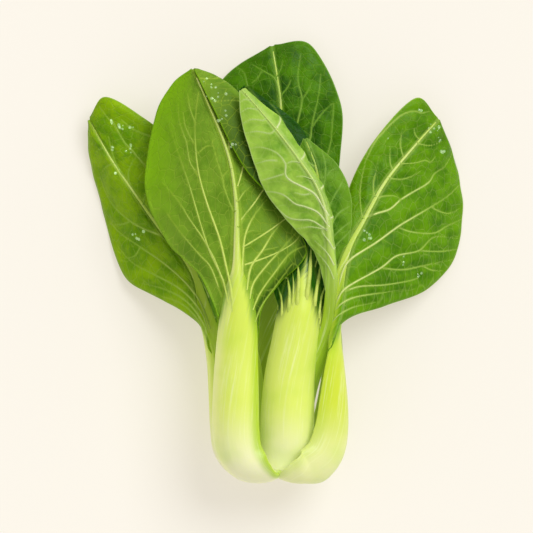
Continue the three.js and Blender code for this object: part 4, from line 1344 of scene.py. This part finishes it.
def green_over(tree, lines, unravels):
    """The share of green: streaky, first at the edges, and over the whole top if unravels is high."""
    side, rise = calc(tree, "ABSOLUTE", measured(tree, "side")), measured(tree, "rise")
    streaked = calc(tree, "ADD", side, calc(tree, "MULTIPLY", lines, 0.7))
    streaked = calc(tree, "ADD", streaked, calc(tree, "MULTIPLY", rise, unravels))
    climbing = ease(tree, rise, -0.05, 0.03)
    if unravels <= 2:
        climbing = calc(tree, "MULTIPLY", climbing, ease(tree, rise, 0.22, 0.1))
    return calc(tree, "MULTIPLY", ease(tree, streaked, *STREAKS), climbing)


print("green sets in where the streaks pass", STREAKS[0])

# %% One finish for all stalks and midribs
USUAL_TONES = ("#F0F0C4", "#DDEB6C", "#D2E458", "#C3DA6C")


def stalk_finish(name, deep, tones=USUAL_TONES, edges=(0.5, 0.5), painted_highlight=(0, 0), unravels=2.0):
    material, tree, shader = start_finish(
        f"{name}_flesh", Roughness=0.3, Specular_IOR_Level=0.3, Subsurface_Weight=0.3,
        Subsurface_Radius=(0.004, 0.004, 0.0012), Subsurface_Scale=1.0, Emission_Strength=0.1)
    spot = put(tree, "UVMap", uv_map="leafmap").outputs[0]
    place = put(tree, "TexCoord").outputs["Object"]
    flesh = flesh_of(tree, place, tones, edges, painted_highlight)
    stretched = put(tree, "Mapping", {"Vector": spot, "Scale": (1.6, 0.03, 1.0)}).outputs[0]
    lines = noise(tree, stretched, 1.0, 4.0, 0.65)
    flesh = blend(tree, ease(tree, lines, 0.5, 0.72, 0.0, 0.45), flesh, green("#F0F5C0"))
    clouds = noise(tree, place, 60.0, 2.0)
    flesh = blend(tree, ease(tree, clouds, 0.45, 0.75, 0.0, 0.3), flesh, green("#BBDD30"))
    flesh = blend(tree, green_over(tree, lines, unravels), flesh, green(deep))
    tree.links.new(flesh, shader.inputs["Base Color"])
    # A painted glow: the flesh colour shines a little, for light that comes through the flesh
    tree.links.new(flesh, shader.inputs["Emission Color"])
    bumped(tree, shader, lines, 0.12 * MM, 0.6)
    return material


print("usual tones from the root up:", USUAL_TONES)

# %% Each stalk's looks
STALK_LOOKS = {
    "front_left": dict(edges=(0.0, 0.9), painted_highlight=(0.65, 0.0)),
    "front_centre": dict(edges=(0.1, 0.1), painted_highlight=(0.15, 0.15), unravels=3.6),
    "right": dict(tones=("#E6EAA8", "#CCDC3C", "#C8DC3C", "#C3DA6C"), edges=(0.3, 0.5)),
    "curled": dict(tones=("#DCE29A", "#A9C640", "#94B62C", "#B4D070")),
    # The inner right and top back stalks show only in the gaps between the others, and their darker middle
    # tones are painted shade
    "inner_right": dict(tones=("#E8EAB4", "#8CA01C", "#6E8A10", "#98B838")),
    "top_back": dict(tones=("#E8EAB4", "#8CA01C", "#6E8A10", "#A8C858")),
}
for name, stalk in stalks.items():
    stalk.data.materials.append(stalk_finish(name, GREENS[name]["light"], **STALK_LOOKS.get(name, {})))
print("stalks finished:", len(stalks))

# %% The finish of the raised veins
def vein_finish(name, pale, thin):
    """Thick veins are the pale colour, and hair-thin ones take on the blade's green."""
    material, tree, shader = start_finish(
        name, Roughness=0.35, Specular_IOR_Level=0.2, Subsurface_Weight=0.15,
        Subsurface_Radius=(0.002, 0.002, 0.0006), Subsurface_Scale=1.0)
    girth = measured(tree, "girth_mm")
    tint = blend(tree, ease(tree, girth, 0.18, 0.42), green(thin), green(pale))
    uneven = noise(tree, put(tree, "TexCoord").outputs["Object"], 300.0, 2.0)
    tint = blend(tree, ease(tree, uneven, 0.4, 0.7, 0.0, 0.3), tint, green(thin))
    tree.links.new(tint, shader.inputs["Base Color"])
    return material


def keep_girth(piece, lines):
    """Stores on each point of a vein how thick the vein is there."""
    tree, sizes = vein_finder(lines)
    girth = [sizes[tree.find(vertex.co / MM)[1]] for vertex in piece.data.vertices]
    piece.data.attributes.new("girth_mm", "FLOAT", "POINT").data.foreach_set("value", np.float32(girth))


VEIN_GREENS = {
    "front_left": ("#D2E66E", "#8CB42C"), "front_centre": ("#CFE06A", "#6A9A20"),
    "right": ("#DEEC94", "#90BC34"), "left": ("#C0D866", "#86B81C"),
    "top_back": ("#A4C858", "#6AA01C"), "back_left": ("#C4DA78", "#88B438"),
    "inner_right": ("#A2C664", "#78A830"), "curled": ("#DCEAA8", "#B4D478"),
}
for name, piece in vein_pieces.items():
    keep_girth(piece, veins[name])
    piece.data.materials.append(vein_finish(f"{name}_vein_tissue", *VEIN_GREENS[name]))
print("vein finishes:", len(VEIN_GREENS))

# %% [markdown]
# ## The cut stem
# All stalks grow from a short stem, cut straight across. It shows only from the root end. A lathe is the
# plain way to make it: an outline is spun round the stem's own line, with its cut edge slightly rounded.

# %% Spin the stem
STEM_CENTRE = Vector((1.2, 0, 24.3)) * MM
STEM_OUTLINE = [
    (0.0, -86.6), (3.2, -86.8), (6.4, -87.0), (7.0, -86.7), (7.4, -86.0), (7.4, -81.2), (6.8, -80.2),
    (3.7, -77.2), (0.0, -77.0),
]
STEM_STEPS = 64


def spin_stem():
    """Each pair in the outline is a distance from the stem's line and a place along it."""
    shape = bmesh.new()
    points = [shape.verts.new((r * MM, y * MM, 0)) for r, y in STEM_OUTLINE]
    edges = [shape.edges.new(pair) for pair in zip(points, points[1:])]
    bmesh.ops.spin(shape, geom=points + edges, cent=(0, 0, 0), axis=(0, 1, 0), angle=2 * math.pi,
                   steps=STEM_STEPS, use_merge=True, use_duplicate=False)
    bmesh.ops.remove_doubles(shape, verts=shape.verts, dist=WELD)
    bmesh.ops.recalc_face_normals(shape, faces=shape.faces)
    bmesh.ops.translate(shape, verts=shape.verts, vec=STEM_CENTRE)
    return finish_object("stem_form", shape)


stem = spin_stem()
print("stem triangles:", count_triangles(stem))

# %% The cut face: pale pith, a darker ring, and a little brown where it has dried
def stem_finish():
    material, tree, shader = start_finish(
        "cut_stem", Roughness=0.55, Subsurface_Weight=0.15,
        Subsurface_Radius=(0.002, 0.0018, 0.001), Subsurface_Scale=1.0)
    place = put(tree, "TexCoord").outputs["Object"]
    middle = (STEM_CENTRE.x, 0, STEM_CENTRE.z)
    centred = put(tree, "VectorMath", {0: place, 1: middle}, operation="SUBTRACT")
    flat = put(tree, "VectorMath", {0: centred.outputs[0], 1: (1, 0, 1)}, operation="MULTIPLY")
    radius = put(tree, "VectorMath", {0: flat.outputs[0]}, operation="LENGTH").outputs["Value"]
    rough = noise(tree, place, 500.0, 4.0)
    radius = calc(tree, "ADD", radius, calc(tree, "MULTIPLY", rough, 0.001))
    face = blend(tree, ease(tree, radius, 0.0035, 0.0052), green("#EFEBCB"), green("#CFD08A"))
    face = blend(tree, ease(tree, radius, 0.0052, 0.0066), face, green("#E8E6B4"))
    face = blend(tree, ease(tree, rough, 0.58, 0.72, 0.0, 0.6), face, green("#A88A4E"))
    tree.links.new(face, shader.inputs["Base Color"])
    bumped(tree, shader, rough, 0.3 * MM, 0.7)
    return material


stem.data.materials.append(stem_finish())
print("stem finished")

# %% [markdown]
# ## Drops of water
# The leaves were rinsed, and a few small drops are left, in loose groups on the open blades. A particle
# system could scatter them. A short list of places and a seeded random scatter keep them the same in
# every run, and each drop is a flattened bead with few faces that sits on the blade below it. A real
# bead gathers light from all round and passes it on to the leaf, and a little glow stands for that.

# %% Where the drops lie: photo point, how many, and how wide the group is
DROP_GROUPS = {
    "left": [(111, 121, 4, 3), (122, 127, 6, 4), (131, 128, 3, 3), (130, 148, 5, 6), (115, 171, 3, 5),
             (139, 236, 5, 7), (112, 147, 3, 3)],
    "front_left": [(205, 79, 4, 5), (216, 98, 7, 9), (226, 118, 5, 7), (233, 145, 3, 4),
                   (213, 88, 5, 5)],
    "right": [(388.7, 138.6, 1, 1), (433, 128, 4, 5), (440, 128, 4, 3), (440, 139, 3, 3),
              (444, 149.4, 4, 3), (421, 111, 2, 2), (370, 238, 6, 7), (418, 276, 4, 4),
              (404, 262, 3, 5)],
}
DROP_MM = (0.28, 0.75)  # the radius of the smallest and of the largest drop
DROP_HEIGHT = 0.6
STEEPEST = 0.3
print("drops asked for:", sum(group[2] for groups in DROP_GROUPS.values() for group in groups))


# %% One drop
def add_drop(shape, spot, facing, radius):
    """A bead, flattened to a little over half its height and turned to lie on the blade."""
    turn = Vector((0, 0, 1)).rotation_difference(facing).to_matrix().to_4x4()
    flat = Matrix.Diagonal((radius, radius, radius * DROP_HEIGHT, 1))
    bead = Matrix.Translation(spot) @ turn @ flat
    bmesh.ops.create_uvsphere(shape, u_segments=10, v_segments=6, radius=1, matrix=bead)


print("the largest drop stands", round(DROP_MM[1] * DROP_HEIGHT, 2), "mm high")

# %% Scatter the drops
def make_drops(name, groups):
    """One mesh with all the drops of a leaf; none is put where the blade is too steep to hold it."""
    blade = blades[name].data
    tree = BVHTree.FromPolygons([v.co for v in blade.vertices], [p.vertices for p in blade.polygons])
    shape = bmesh.new()
    for px, py, count, spread in groups:
        for shift in rng.normal(0, spread / 2, (count, 2)):
            x, y = from_photo([(px + shift[0], py + shift[1])])[0] * MM
            spot, facing, face, distance = tree.ray_cast(Vector((x, y, 0.1)), Vector((0, 0, -1)))
            if spot is not None and facing.z > STEEPEST:
                add_drop(shape, spot, facing, rng.uniform(*DROP_MM) * MM)
    bmesh.ops.recalc_face_normals(shape, faces=shape.faces)
    return finish_object(f"{name}_drops", shape)


drops = {name: make_drops(name, groups) for name, groups in DROP_GROUPS.items()}
print("drop triangles:", {name: count_triangles(piece) for name, piece in drops.items()})

# %% The drops' finish: clear water
water = start_finish("clear_water", Base_Color=(1, 1, 1, 1), Roughness=0.02, IOR=1.33,
                     Transmission_Weight=1.0, Emission_Color=(0.75, 0.9, 0.6, 1),
                     Emission_Strength=0.28)[0]
for piece in drops.values():
    piece.data.materials.append(water)
print("drops finished:", len(drops))

# %% [markdown]
# ## Join the pieces to the frame
# Nothing in the head moves, so every piece rides on the one body. Each stalk and blade stands for the
# faceted solid of the same name, which is hidden and stays in use for collision.

# %% Ride and replace
for name in leaves:
    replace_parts(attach(stalks[name], "root"), f"{name}_stalk")
    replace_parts(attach(blades[name], "root"), f"{name}_blade")
    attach(vein_pieces[name], "root")
for name, piece in drops.items():
    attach(piece, "root")
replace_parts(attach(stem, "root"), "stem_base")

# %% [markdown]
# ## The table, the light and the camera
# The head lies on a plain cream surface that glows a little, as a light table does, so the shadows on it
# stay faint. Soft light comes from above, a little stronger from the upper right. The camera looks
# straight down from far away through a long lens, which keeps the outlines free of perspective.

# %% The table
TABLE_HALF = 6
TABLE_GAP = 0.0002  # keeps the card just below the flat spot that the head rests on


def lay_table():
    shape = bmesh.new()
    bmesh.ops.create_grid(shape, x_segments=2, y_segments=2, size=TABLE_HALF)
    table = finish_object("table", shape)
    table.location.z = -TABLE_GAP
    card = start_finish("cream_card", Roughness=0.9, Specular_IOR_Level=0.1,
                        Base_Color=(0.46, 0.47, 0.46, 1), Emission_Color=(0.53, 0.475, 0.4, 1),
                        Emission_Strength=1.0)[0]
    table.data.materials.append(card)
    return table


table = lay_table()
print("table lies at:", round(table.location.z, 4))

# %% Soft light
KEY_PLACE = (0.52, 0.58, 1.0)
KEY_SPREAD = 34  # degrees; a wide sun softens the shadows
KEY_STRENGTH = 1.75
ROOM_STRENGTH = 0.56
HEAD_MIDDLE = Vector((0, 0, 0.02))


def add_key_light():
    data = bpy.data.lights.new("key_light", "SUN")
    data.angle = math.radians(KEY_SPREAD)
    data.energy = KEY_STRENGTH
    data.color = (1.0, 0.98, 0.95)
    lamp = bpy.data.objects.new("key_light", data)
    bpy.context.scene.collection.objects.link(lamp)
    lamp.location = KEY_PLACE
    lamp.rotation_euler = (HEAD_MIDDLE - Vector(KEY_PLACE)).to_track_quat("-Z", "Y").to_euler()
    return lamp


def light_room():
    """A warm white room lights the head from all sides."""
    room = bpy.data.worlds.new("soft_room")
    bpy.context.scene.world = room
    room.use_nodes = True
    walls = room.node_tree.nodes["Background"].inputs
    walls["Color"].default_value = (1.0, 0.985, 0.96, 1)
    walls["Strength"].default_value = ROOM_STRENGTH


key_light = add_key_light()
light_room()
bpy.context.scene.view_settings.view_transform = "Standard"
print("light from:", [round(v, 2) for v in key_light.location])

# %% The camera
CAMERA_HEIGHT = 4.0
LEAF_HEIGHT = 0.03
PHOTO_PIXELS = 533
SENSOR_MM = 36
CLIP_END = 40
view_width = PHOTO_PIXELS * PHOTO_MM * MM
camera = bpy.data.objects.new("camera", bpy.data.cameras.new("camera"))
bpy.context.scene.collection.objects.link(camera)
camera.location = (-0.0039, -0.00185, CAMERA_HEIGHT)
camera.data.sensor_width = SENSOR_MM
camera.data.lens = SENSOR_MM * (CAMERA_HEIGHT - LEAF_HEIGHT) / view_width
camera.data.clip_end = CLIP_END
bpy.context.scene.camera = camera
print("lens:", round(camera.data.lens), "mm")
